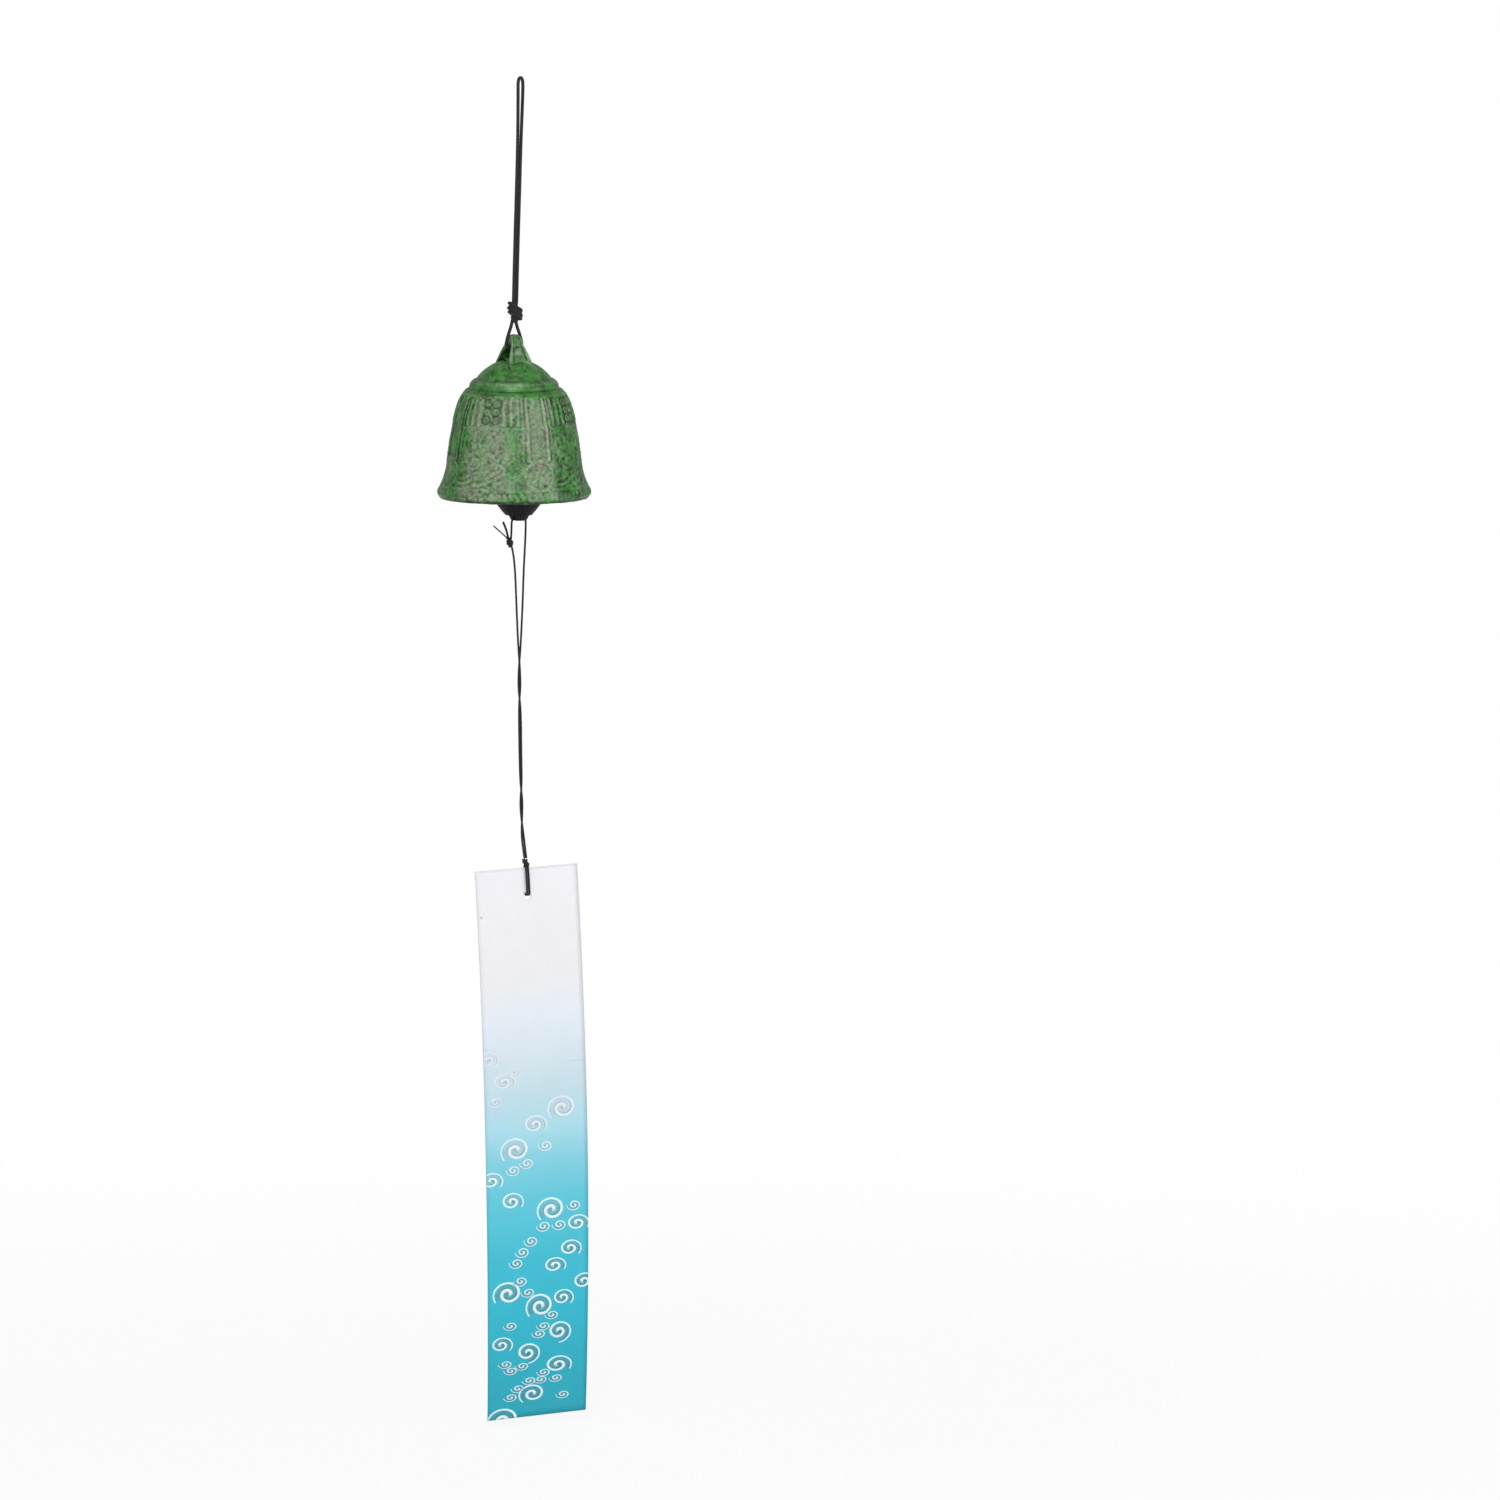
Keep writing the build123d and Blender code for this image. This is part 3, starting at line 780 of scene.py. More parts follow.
@dataclass
class Knot(Tied):
    """A knot pulled tight: strands side by side wound round the core. It is scaled to its size.

    Its place and size are in millimetres, and its angles in degrees.
    """

    middle: Point
    size: Triple
    turn: float = 0.0
    lean: float = 0.85
    strands: int = 2
    start: float = 75.0
    lag: float = 18.0
    rows: int = 140

    def wraps(self) -> list[np.ndarray]:
        """Returns the middle lines of the turns round the core, in millimetres."""
        thick = self.tube.diameter
        half = np.array(self.size) / 2
        lean = self.lean * thick
        drop = 2 * (half[2] - 0.45 * self.strands * thick - 0.8 * lean)
        turns = max(drop / (self.strands * thick) + 0.55, 1.3)
        share = np.linspace(0, 1, self.rows)
        lines = []
        for strand in range(self.strands):
            # The second strand lies beside the first, a little flatter and further in
            angle = np.radians(self.start - self.lag * strand + 360 * turns * share)
            # The ends dive into the core
            spread = 0.2 + 0.8 * ramp_share(np.minimum(share, 1 - share) * turns, 0, 0.2)
            spread *= 1 - 0.08 * strand - 0.07 * np.cos(1.7 * angle + 0.6)
            x = (half[0] - 0.4 * thick) * spread * np.cos(angle)
            y = (half[1] - 0.5 * thick) * spread * np.sin(angle)
            beside = (strand - (self.strands - 1) / 2) * thick
            z = drop * (0.5 - share) - lean * (1 - 0.15 * strand) * np.cos(angle) - 0.92 * beside
            lines.append(np.stack([x, y, z], axis=1))
        return lines

    def core(self) -> list[np.ndarray]:
        """Returns the middle lines of the strands through the core, in millimetres."""
        thick, reach = self.tube.diameter, self.size[2] / 2
        lines = []
        for side in (-1, 1):
            route = [(side * thick / 2, 0, reach), (side * thick * 0.35, 0, 0), (side * thick / 2, 0, -reach)]
            lines.append(np.array(route))
        return lines

    def build(self) -> bpy.types.Object:
        """Makes the knot and seats it on its body."""
        cos, sin = math.cos(math.radians(self.turn)), math.sin(math.radians(self.turn))
        spin = np.array([[cos, sin, 0], [-sin, cos, 0], [0, 0, 1]])
        return self.lay([line @ spin + np.array(self.middle) for line in self.wraps() + self.core()])


@dataclass(frozen=True)
class Rigging:
    """All the cords and knots that the bell, clapper and strip hang on. Places are in millimetres."""

    thin_tail: float = 0.66
    thick_tail: float = 1.1

    def hanging(self) -> None:
        """Builds the hanging cord with its knot, and the fork below it."""
        middle, size = (-2.7, 0, -97.9), (6.4, 5.6, 9.3)
        knot = Knot("hanging_cord_knot", "hook_cord", "hanging_knot", HANGING_CORD, middle, size)
        # Up one side from the knot, over the hook, and down the other side
        over = [
            (-3.44, 0, -94.5), (-2.89, 0, -74.0), (-2.09, 0, -51.0), (-1.29, 0, -25.6), (-1.12, 0, -6.0),
            (-1.12, 0, 0.7), (1.12, 0, 0.7), (1.12, 0, -6.0), (0.19, 0, -25.6), (-0.61, 0, -51.0),
            (-1.41, 0, -74.0), (-1.96, 0, -94.5),
        ]  # fmt: skip
        loop = Cord("hanging_loop_cord", "hook_cord", "hanging_cord", HANGING_CORD, 191.8, over)
        loop.build([knot.build()])
        # The fork's ends go on into the knot
        fork = [
            (-3.5, 0, -99.0), (-4.15, 0, -103.15), (-6.146, 0, -108.1), (-7.356, 0, -113.2),
            (0.956, 0, -113.2), (-0.254, 0, -108.1), (-2.25, 0, -103.15), (-2.9, 0, -99.0),
        ]  # fmt: skip
        Cord("crown_fork_cord", "fork", "fork_loop", HANGING_CORD, 34.0, fork).build()

    def clapper(self) -> None:
        """Builds the loop of string that the clapper hangs on."""
        middle, size = (-2.05, 1.7, -146.76), (3.0, 3.0, 3.2)
        knot = Knot("clapper_string_knot", "clapper_string", "clapper_knot", SHORT_STRING, middle, size)
        # Up from the knot, through the inner eye, down the other side and through the clapper's ring
        through = [
            (-2.144, 1.7, -145.76), (-2.894, 1.55, -132.55), (-3.2, 1.55, -127.15), (-3.2, -1.55, -127.15),
            (-2.894, -1.55, -132.55), (-2.087, -1.7, -146.76), (-1.406, -1.85, -158.75),
            (-1.1, -1.85, -164.15), (-1.1, 1.85, -164.15), (-1.406, 1.85, -158.75), (-2.030, 1.7, -147.76),
        ]  # fmt: skip
        loop = Cord("clapper_string_loop", "clapper_string", "clapper_cord", SHORT_STRING, 76.1, through)
        loop.build([knot.build()])

    def strip(self) -> None:
        """Builds the two strands between the clapper and the strip, with their knots and tails."""
        middle, size = (-5.3, 0, -195.3), (3.1, 2.9, 4.4)
        joining = Knot("joining_string_knot", "strip_string", "joining_knot", LONG_STRING, middle, size, 30)
        knot = joining.build()
        tails = LONG_STRING.piece("string_tails", self.tail_lines(), [self.thin_tail, self.thick_tail])
        seat(tails, "strip_string", ["knot_tails"])
        # Over the clapper's saddle and down the right side; lower down the strands wind round each other
        right = [
            (-4.75, 0, -194.2), (-4.45, 0, -190.6), (-4.4, 0, -184.5), (2.2, 0, -184.5), (2.2, 0, -190.0),
            (1.9, 0, -196.5), (1.2, 0, -207.5), (0.75, 0, -221.0), (-0.3, 0, -240.5), (-0.85, 0.6, -249.0),
            (-1.4, 0, -257.0), (-0.75, -0.6, -264.0), (-0.1, 0, -271.5), (0.0, 0.1, -281.0),
            (0.12, 0, -291.0), (-0.1, -0.6, -298.0), (-0.55, 0, -305.0), (0.1, 0.6, -311.5),
            (0.95, 0.1, -318.5), (1.65, 0, -324.5), (2.35, 0, -329.7),
        ]  # fmt: skip
        left = [
            (-4.6, 0, -196.4), (-3.75, 0, -199.4), (-3.05, 0, -204.8), (-2.6, 0, -211.5), (-2.25, 0, -221.0),
            (-1.35, 0, -240.5), (-0.85, -0.6, -249.0), (-0.3, 0, -257.0), (-0.75, 0.6, -264.0),
            (-1.05, 0, -271.5), (-0.98, -0.1, -281.0), (-0.72, 0, -291.0), (-0.1, 0.6, -298.0),
            (0.55, 0, -305.0), (0.1, -0.6, -311.5), (-0.05, -0.1, -318.5), (0.6, 0, -324.5),
            (1.45, 0, -329.7),
        ]  # fmt: skip
        down_right = Cord("strip_string_right", "strip_string", "strip_cord", LONG_STRING, 160.9, right)
        down_right.build([knot, tails])
        Cord("strip_string_left", "strip_string", "strip_cord_left", LONG_STRING, 133.6, left).build()
        middle, size = (2.0, 0, -331.6), (3.2, 3.2, 3.6)
        Knot("strip_string_knot", "string_end", "strip_knot", LONG_STRING, middle, size, -20).build()

    def tail_lines(self) -> list[np.ndarray]:
        """Returns the middle lines of the joining knot's two tails, the thin one first."""
        thin = [(-5.5, 0, -194.6), (-6.9, 0, -193.1), (-9.3, 0, -191.0), (-13.0, 0, -187.9)]
        thick = [(-5.9, 0, -194.2), (-6.3, 0, -192.2), (-7.1, 0, -189.3), (-8.5, 0, -186.4)]
        return [spline_points("thin_tail", thin), spline_points("thick_tail", thick)]


# Casting


@dataclass(frozen=True)
class BellCasting:
    """The cast bell, its shell, relief and crown in one piece.

    Sizes are in millimetres, heights are above the rim, and angles are in degrees.
    """

    axis_x: float = -3.2
    rim_z: float = -176.3
    around: int = 420
    # The rim's radius, then radius and height where the outside's arcs meet, from there up
    foot: float = 31.2
    lip_top: Pair = (31.6, 4.4)
    flare_top: Pair = (28.6, 13.7)
    shoulder: Pair = (24.9, 35.4)
    brow: Pair = (20.6, 45.6)
    bead_foot: Pair = (19.0, 46.4)
    bead_top: Pair = (16.3, 50.3)
    dome_edge: Pair = (15.9, 50.3)
    dome_height: float = 58.5
    # The rim's thickness and the radius of its middle, then where the inside's arcs meet
    rim_wall: float = 3.2
    rim_middle: float = 29.6
    inner_flare_top: Pair = (26.0, 13.7)
    inner_shoulder: Pair = (22.3, 35.4)
    inner_brow: Pair = (18.2, 43.6)
    inner_top: float = 55.6
    # The crown's two lines up one leg, as distance from the axis and height, and its half widths by height
    crown_outer: tuple[Pair, ...] = (
        (-8.2, 54.4), (-7.2, 56.9), (-5.9, 59.4), (-4.6, 62.2), (-3.6, 65.0), (-2.7, 67.4), (-1.3, 68.8),
    )  # fmt: skip
    crown_inner: tuple[Pair, ...] = (
        (-5.4, 54.0), (-5.1, 56.6), (-4.4, 58.8), (-3.4, 61.0), (-2.2, 62.8), (-1.1, 63.8), (-0.4, 64.15),
    )  # fmt: skip
    crown_widths: tuple[Pair, ...] = (
        (54.0, 5.9), (57.0, 5.4), (58.8, 4.9), (60.4, 4.4),
        (62.1, 3.7), (63.7, 2.9), (66.0, 2.3), (68.9, 1.65),
    )  # fmt: skip
    crown_rows: int = 90
    crown_around: int = 56
    # The power that gives its section broad sides and round corners
    crown_corner: float = 0.55
    knob_height: float = 61.8
    # How far the pattern and the crown's feet are turned from the front
    pattern_turn: float = -4.5
    foot_turn: float = -13.0
    # Heights of the pattern's lines and of its parts' lower and upper edges
    rim_line: float = 5.7
    field_line: float = 31.2
    band_line: float = 17.9
    shoulder_line: float = 44.1
    bump_rows: Pair = (1.8, 4.0)
    water_rows: Pair = (7.4, 29.6)
    band_rows: Pair = (18.2, 43.4)
    bar_rows: Pair = (32.6, 42.8)
    boss_height: float = 11.6
    # Angles from a band's middle: its wide and narrow ridge, and the bars beside the studs
    wide_ridge: float = 9.4
    narrow_ridge: float = 13.6
    bars: Triple = (18.2, 25.0, 32.0)
    bumps: int = 40
    # How far things stand out, and how soft the pattern's edges are
    relief_height: float = 0.6
    grit_height: float = 0.07
    softness: float = 0.9
    # The water: how far it stands out, how far apart the eddies' arms and the swells are, and where both meet
    water_height: float = 0.17
    arm_spacing: float = 2.5
    swell_spacing: float = 2.6
    meeting_rows: Pair = (13.4, 16.4)
    # Middle and height of each eddy, in degrees from the field's middle, and which way it turns
    eddies: tuple[tuple[float, float, int], ...] = (
        (-19, 25, 1), (-6, 27, -1), (8, 24, 1), (21, 26, -1), (-14, 17, -1), (1, 18, 1), (16, 17, 1),
    )  # fmt: skip
    # The boss: its rope's radius, its petals' inner and outer ends, and how many petals and rope turns it has
    rope_radius: float = 6.1
    petal_ends: Pair = (2.1, 4.6)
    petals: int = 8
    rope_turns: int = 24
    # The crown's feet: half their width, where their raised edges run, and over which stretch they run out
    tongue_half: float = 2.9
    tongue_edge: float = 2.8
    tongue_ends: Pair = (9.8, 12.0)
    # The crown's legs: between which heights they are carved, and at which shares of their half width
    leg_rows: Pair = (58.6, 67.8)
    ridge_share: float = 0.86
    groove_share: float = 0.58
    # Middle, half width and depth of each rubbed area
    rubbed_areas: tuple[Triple, ...] = (
        (-53, 20, 1.0), (-3, 14, 1.0), (-92, 8, 0.3), (36, 9, 0.08), (118, 26, 0.8), (178, 13, 0.7),
        (-140, 22, 0.75),
    )  # fmt: skip

    def arc(self, start: Sequence[float], end: Sequence[float], bulge: float, rows: int) -> np.ndarray:
        """Points on an arc of the profile, from its start up to just before its end.

        Args:
            start: radius and height.
            end: radius and height.
            bulge: how far the arc stands out from its chord.
            rows: number of points.

        Returns:
            Radius and height of each point.
        """
        share = np.linspace(0, 1, rows, endpoint=False)[:, None]
        chord = np.subtract(end, start)
        outward = np.array([chord[1], -chord[0]]) / np.linalg.norm(chord)
        return np.asarray(start) + chord * share + outward * bulge * 4 * share * (1 - share)

    def cap(self, edge: Pair, top: float, rows: int, last_angle: float = 0.004) -> np.ndarray:
        """Points on a ball-shaped cap, from its edge up to just before its top.

        Args:
            edge: radius and height of its edge.
            top: height of its top.
            rows: number of points.
            last_angle: how far from the axis the last one is, in radians.

        Returns:
            Radius and height of each point.
        """
        rise = top - edge[1]
        ball = (edge[0] ** 2 + rise**2) / (2 * rise)
        half = math.atan2(edge[0], ball - rise)
        angle = np.linspace(half, last_angle, rows)
        return np.stack([ball * np.sin(angle), top - ball + ball * np.cos(angle)], axis=1)

    def outline(self) -> tuple[np.ndarray, int]:
        """The wall's outline, up the outside, after down the inside and round the rim.

        Returns:
            Radius and height of each row, and the number of rows inside.
        """
        inside = [
            self.cap(self.inner_brow, self.inner_top, 9)[::-1],
            self.arc(self.inner_shoulder, self.inner_brow, -0.45, 4)[::-1],
            self.arc(self.inner_flare_top, self.inner_shoulder, -0.45, 6)[::-1],
            self.arc((self.foot - self.rim_wall, 0), self.inner_flare_top, 0.35, 5)[::-1],
            np.array([[self.rim_middle, 0.0]]),
        ]
        outside = [
            self.arc((self.foot, 0), self.lip_top, 0.9, 14),
            self.arc(self.lip_top, self.flare_top, -0.35, 27),
            self.arc(self.flare_top, self.shoulder, 0.45, 60),
            self.arc(self.shoulder, self.brow, 0.5, 29),
            self.arc(self.brow, self.bead_foot, 0.1, 4),
            self.arc(self.bead_foot, self.bead_top, 0.75, 14),
            self.cap(self.dome_edge, self.dome_height, 36),
        ]
        inner = np.concatenate(inside)
        return np.concatenate([inner, *outside]), len(inner)

    def relief(self, angle: np.ndarray, height: np.ndarray, radius: np.ndarray) -> np.ndarray:
        """The cast pattern's height.

        Args:
            angle: angle round the axis, 0 at the front, in radians.
            height: height above the rim.
            radius: radius of the wall.

        Returns:
            How far the surface stands out at each place.
        """
        share = angle / 2 / math.pi
        turn = np.degrees(angle)
        off_band = (turn + 45) % 90 - 45
        aside = np.abs(off_band)
        # No line was cut quite straight, and some came out faint
        wavy = aside + 0.55 * sand_noise(share, height, 34, 5.0, 47)
        faint = 0.72 + 0.28 * sand_noise(share, height, 19, 7.0, 61)
        out = np.zeros_like(height)
        # Upright bands at the four quarters, each between a wide ridge and a narrow one
        ridges = self.relief_height * peak(wavy, self.wide_ridge, 1.45)
        ridges = ridges + 0.4 * faint * peak(wavy, self.narrow_ridge, 0.95)
        out += window(height, *self.band_rows, self.softness) * ridges
        out += 0.3 * faint * peak(height, self.band_line, 0.6) * (1 - ramp_share(aside, 9.5, 11))
        # Lines under the shoulder and below the studs
        out += 0.32 * faint * peak(height, self.shoulder_line, 0.6)
        out += 0.24 * faint * peak(height, self.field_line, 0.6) * ramp_share(aside, 13, 15)
        # Upright bars beside the studs
        bars = sum(peak(wavy, place, 1.8) for place in self.bars)
        out += 0.55 * faint * bars * window(height, *self.bar_rows, self.softness)
        water = self.scrolls(turn % 90 - 45, height, radius) * ramp_share(aside, 14, 17)
        out += water * window(height, *self.water_rows, 1.0)
        boss = self.roundel(np.radians(off_band) * radius, height - self.boss_height)
        out += boss * (0.5 + 0.5 * faint)
        # Rim band with a run of bumps
        out += 0.16 * faint * peak(height, self.rim_line, 0.5)
        uneven = 0.5 + 0.5 * sand_noise(share, height, 31, 4.0, 23)
        bumps = np.abs(np.sin(angle * self.bumps + 2.2 * sand_noise(share, height, 13, 9.0, 29)))
        out += 0.24 * bumps * uneven * window(height, *self.bump_rows, self.softness)
        out += self.tongues(angle, height, radius)
        return out

    def foot_places(self, angle: np.ndarray, radius: np.ndarray) -> tuple[np.ndarray, np.ndarray]:
        """Returns each place's distance across and along the crown's feet."""
        turn = angle - math.radians(self.foot_turn)
        return radius * np.sin(turn), np.abs(radius * np.cos(turn))

    def tongues(self, angle: np.ndarray, height: np.ndarray, radius: np.ndarray) -> np.ndarray:
        """The feet of the crown's legs, which run down the dome as flat tongues with raised edges."""
        aside, along = self.foot_places(angle, radius)
        reach = (1 - ramp_share(along, *self.tongue_ends)) * (height > self.dome_edge[1])
        flat = 0.3 * window(aside, -self.tongue_half, self.tongue_half, 0.7)
        return reach * (flat + 0.25 * peak(np.abs(aside), self.tongue_edge, 0.6))

    def scrolls(self, field: np.ndarray, height: np.ndarray, radius: np.ndarray) -> np.ndarray:
        """Running water in the lower fields: a spiral ridge round each eddy, and long swells below.

        Args:
            field: degrees from the field's middle.
            height: height above the rim.
            radius: radius of the wall.

        Returns:
            Height of the pattern.
        """
        across = np.radians(field) * radius
        # The carver's hand was never even, and sand blurred what it cut
        share = field / 90 + 0.5
        across = across + 1.0 * sand_noise(share, height, 9, 4.5, 31)
        height = height + 0.9 * sand_noise(share, height, 8, 5.0, 37)
        nearest = np.full(field.shape, np.inf)
        second = np.full(field.shape, np.inf)
        ridge = np.zeros_like(field)
        for degrees, middle, way in self.eddies:
            dx, dy = across - math.radians(degrees) * radius, height - middle
            far = np.hypot(dx, dy)
            spiral = np.cos(FULL_TURN * far / self.arm_spacing - way * np.arctan2(dy, dx))
            second = np.where(far < nearest, nearest, np.minimum(second, far))
            ridge = np.where(far < nearest, spiral, ridge)
            nearest = np.minimum(nearest, far)
        ridge = ridge * ramp_share(second - nearest, 0, 1.2)
        # The swells rise to the right, the more so the further they run
        swell_line = height - 0.16 * across - 0.00056 * (across + 12) ** 3
        swells = np.cos(FULL_TURN * swell_line / self.swell_spacing)
        low = 1 - ramp_share(height, *self.meeting_rows)
        strength = 0.55 + 0.45 * sand_noise(share, height, 14, 3.4, 41)
        pattern = (0.62 * ridge * (1 - low) + swells * low) * strength
        clear = 1 - ramp_share(field, 11, 17)
        blurred = self.water_height * sand_noise(share, height, 24, 2.0, 43) * (0.3 + 0.7 * clear)
        return self.water_height * np.maximum(pattern, -0.7) * clear + blurred

    def roundel(self, across: np.ndarray, up: np.ndarray) -> np.ndarray:
        """The round boss below each band: a rope edge round eight petals and a small knob."""
        far, angle = np.hypot(across, up), np.arctan2(up, across)
        petals = 0.5 + 0.5 * np.cos(self.petals * angle)
        rope = 0.85 + 0.15 * np.cos(self.rope_turns * angle)
        out = 0.3 * peak(far, self.rope_radius, 0.75) * rope
        out += 0.1 * petals**0.6 * window(far, *self.petal_ends, 0.6) * (1 - ramp_share(far, 5.0, 5.3))
        out += 0.2 * peak(far, 0, 1.4)
        return out

    def shell(self) -> tuple[np.ndarray, list[list[int]], np.ndarray, np.ndarray]:
        """The wall with its relief.

        Returns:
            Corners, faces, rubbing and painted shade from -1 in hollows to 1 on edges, and dust from 0 to 1.
        """
        rows, inner = self.outline()
        step = np.gradient(rows, axis=0)
        step /= np.linalg.norm(step, axis=1, keepdims=True)
        angles = np.linspace(0, FULL_TURN, self.around, endpoint=False)
        angle, radius = np.meshgrid(angles, rows[:, 0])
        height = np.repeat(rows[:, 1][:, None], self.around, axis=1)
        share = angle / 2 / math.pi
        pattern = self.relief(angle - math.radians(self.pattern_turn), height, radius)
        pattern[:inner] = 0
        grit = sand_noise(share, height, 180, 1.0, 3) + 0.8 * sand_noise(share, height, 84, 2.3, 5)
        grit[:inner] *= 0.6
        grit *= ramp_share(radius, 1.0, 6.0)
        # The bead and the dome are smoother than the wall
        grit *= 1 - 0.7 * ramp_share(height, 44.6, 45.2)
        lift = pattern + self.grit_height * grit
        outward = np.stack([step[:, 1], -step[:, 0]], axis=1)
        reach = radius + outward[:, 0][:, None] * lift
        level = height + outward[:, 1][:, None] * lift
        x, y = self.axis_x + reach * np.sin(angle), -reach * np.cos(angle)
        corners = np.stack([x, y, self.rim_z + level], axis=2)
        # Painted shade round the ring studs darkens the wall there and keeps dust off it
        painted_stud_shade = self.painted_stud_shade(angle, height, radius)
        wear_and_shade = self.wear_and_shade(height, radius, lift, inner) - painted_stud_shade
        # Small pits where the sand broke away, most of them near the rim
        pits = ramp_share(sand_noise(share, height, 130, 1.4, 71), 0.3, 0.8)
        pits = 0.75 * pits * (0.35 + 0.65 * (1 - ramp_share(height, 4, 10))) * (height < 44)
        wear_and_shade[inner:] -= pits[inner:]
        # The raised edges of the crown's feet are rubbed
        aside, along = self.foot_places(angle, radius)
        on_foot = (1 - ramp_share(along, 9.5, 11.8)) * (height > self.dome_edge[1])
        wear_and_shade += 0.6 * peak(np.abs(aside), 2.7, 0.6) * on_foot
        dust = np.clip(self.dust(np.degrees(angle), height, share) - 0.6 * painted_stud_shade, 0, 1)
        dust[:inner] = 0.3
        faces = wound_faces(0, len(rows), self.around)
        return corners.reshape(-1, 3), faces, np.clip(wear_and_shade, -1, 1).ravel(), dust.ravel()

    def wear_and_shade(self, height: np.ndarray, radius: np.ndarray, lift: np.ndarray, inner: int) -> np.ndarray:
        """Dark hollows, part lacquer and part painted shade, and pale rubbed edges, from the relief against
        its own surroundings.

        Args:
            height: height above the rim.
            radius: radius of the wall.
            lift: how far the surface stands out.
            inner: number of rows inside.

        Returns:
            Below 0 in hollows and above 0 on edges.
        """
        count = len(lift)
        shifts = (-3, -2, 2, 3)
        around = sum(np.roll(lift, shift, axis=1) for shift in shifts) / 4
        padded = np.pad(lift, ((3, 3), (0, 0)), mode="edge")
        above = sum(padded[3 + shift : 3 + shift + count] for shift in shifts) / 4
        wear_and_shade = np.clip((2 * lift - around - above) * 3.2, -1, 1)
        # The inside is drawn a little darker all over
        wear_and_shade[:inner] = -0.25
        # Painted shade above and below the bead, a pale line along its crown that is part rubbing and part
        # painted highlight, and a painted shadow under the lip at the rim's edge
        dome = radius > 14
        wear_and_shade -= 0.5 * peak(height, 46.2, 0.4) * (radius > 18.5) + 0.5 * peak(height, 50.4, 0.3) * dome
        wear_and_shade += 0.7 * peak(height, 49.0, 0.5) * dome
        wear_and_shade -= 0.9 * (1 - ramp_share(height, 0.3, 1.5)) * (np.arange(count) >= inner)[:, None]
        return wear_and_shade

    def painted_stud_shade(self, angle: np.ndarray, height: np.ndarray, radius: np.ndarray) -> np.ndarray:
        """Painted shade round and inside each ring stud, where no dust lies either."""
        painted_stud_shade = np.zeros_like(height)
        aside = np.abs(np.degrees(angle - math.radians(self.pattern_turn)) % 90 - 45)
        for row in RingStuds.rows:
            far = np.hypot(np.radians(aside - RingStuds.columns[1]) * radius, height - row)
            painted_stud_shade += (0.8 * peak(far, 1.7, 0.45) + 0.4 * peak(far, 0, 0.5)) * (height < 45)
        return painted_stud_shade

    def dust(self, turn: np.ndarray, height: np.ndarray, share: np.ndarray) -> np.ndarray:
        """Where the lacquer is rubbed dusty: on the fields and bands, least on the dome, with a pale stripe
        along the bead that is partly painted highlight.

        Args:
            turn: degrees round the axis, 0 at the front.
            height: height above the rim.
            share: share of the way round.

        Returns:
            Dust from 0 to 1.
        """
        turn = (turn + 180) % 360 - 180
        out = np.zeros_like(height)
        # The areas' edges wander, and between the studs and the band the dust lies high up
        turn = turn + 5 * sand_noise(share, height, 24, 6.5, 83)
        for middle, half, depth in self.rubbed_areas:
            gap = np.abs((turn - middle + 180) % 360 - 180)
            out = np.maximum(out, depth * (1 - ramp_share(gap, half - 8, half + 7)))
        out = np.maximum(out, 0.8 * peak(turn, -27, 13) * ramp_share(height, 28, 35))
        out *= window(height, 2.5, 42.5, 2.2)
        # Along the bead's left front runs a pale stripe, part rubbed dust and part painted highlight, and the
        # dome above it is cleaner than the wall
        out += 0.6 * peak(height, 49.2, 0.8) * peak(turn, -30, 38)
        patches = 0.3 * sand_noise(share, height, 22, 8, 11) + 0.12 * sand_noise(share, height, 60, 3, 17)
        out += patches * (1 - 0.65 * ramp_share(height, 44, 46))
        return np.clip(out * 1.05 - 0.05, 0, 1)

    def arch(self, leg: Sequence[Pair]) -> np.ndarray:
        """Mirrors one leg's line into the crown's whole arch.

        Args:
            leg: distance from the axis and height of each of its points, from the foot up.

        Returns:
            Distance from the axis and height of each row.
        """
        whole = [*leg, (0, leg[-1][1] + 0.1), *((-y, z) for y, z in reversed(leg))]
        line = spline_points("crown_line", [(0, y, z) for y, z in whole])
        run = np.linspace(0, 1, len(line))
        steps = np.linspace(0, 1, self.crown_rows)
        return np.stack([np.interp(steps, run, line[:, 1]), np.interp(steps, run, line[:, 2])], axis=1)

    def crown(self, first: int) -> tuple[np.ndarray, list[list[int]], np.ndarray, np.ndarray]:
        """The pierced lug on the dome: an arch with two ridges and a knob on each leg.

        Args:
            first: number of the first new corner.

        Returns:
            Corners, faces, rubbing and painted shade, and dust.
        """
        out_line, in_line = self.arch(self.crown_outer), self.arch(self.crown_inner)
        middle, depth = (out_line + in_line) / 2, np.linalg.norm(out_line - in_line, axis=1) / 2
        facing = (out_line - in_line) / (2 * depth[:, None])
        levels, halves = zip(*self.crown_widths)
        half = np.interp(middle[:, 1], levels, halves)
        count = self.crown_around
        angles = np.linspace(0, FULL_TURN, count, endpoint=False)
        across = np.sign(np.cos(angles)) * np.abs(np.cos(angles)) ** self.crown_corner
        deep = np.sign(np.sin(angles)) * np.abs(np.sin(angles)) ** self.crown_corner
        x = half[:, None] * across
        d = depth[:, None] * deep
        level = middle[:, 1][:, None] + facing[:, 1][:, None] * d
        outside = np.clip(deep, 0, 1) ** 0.5
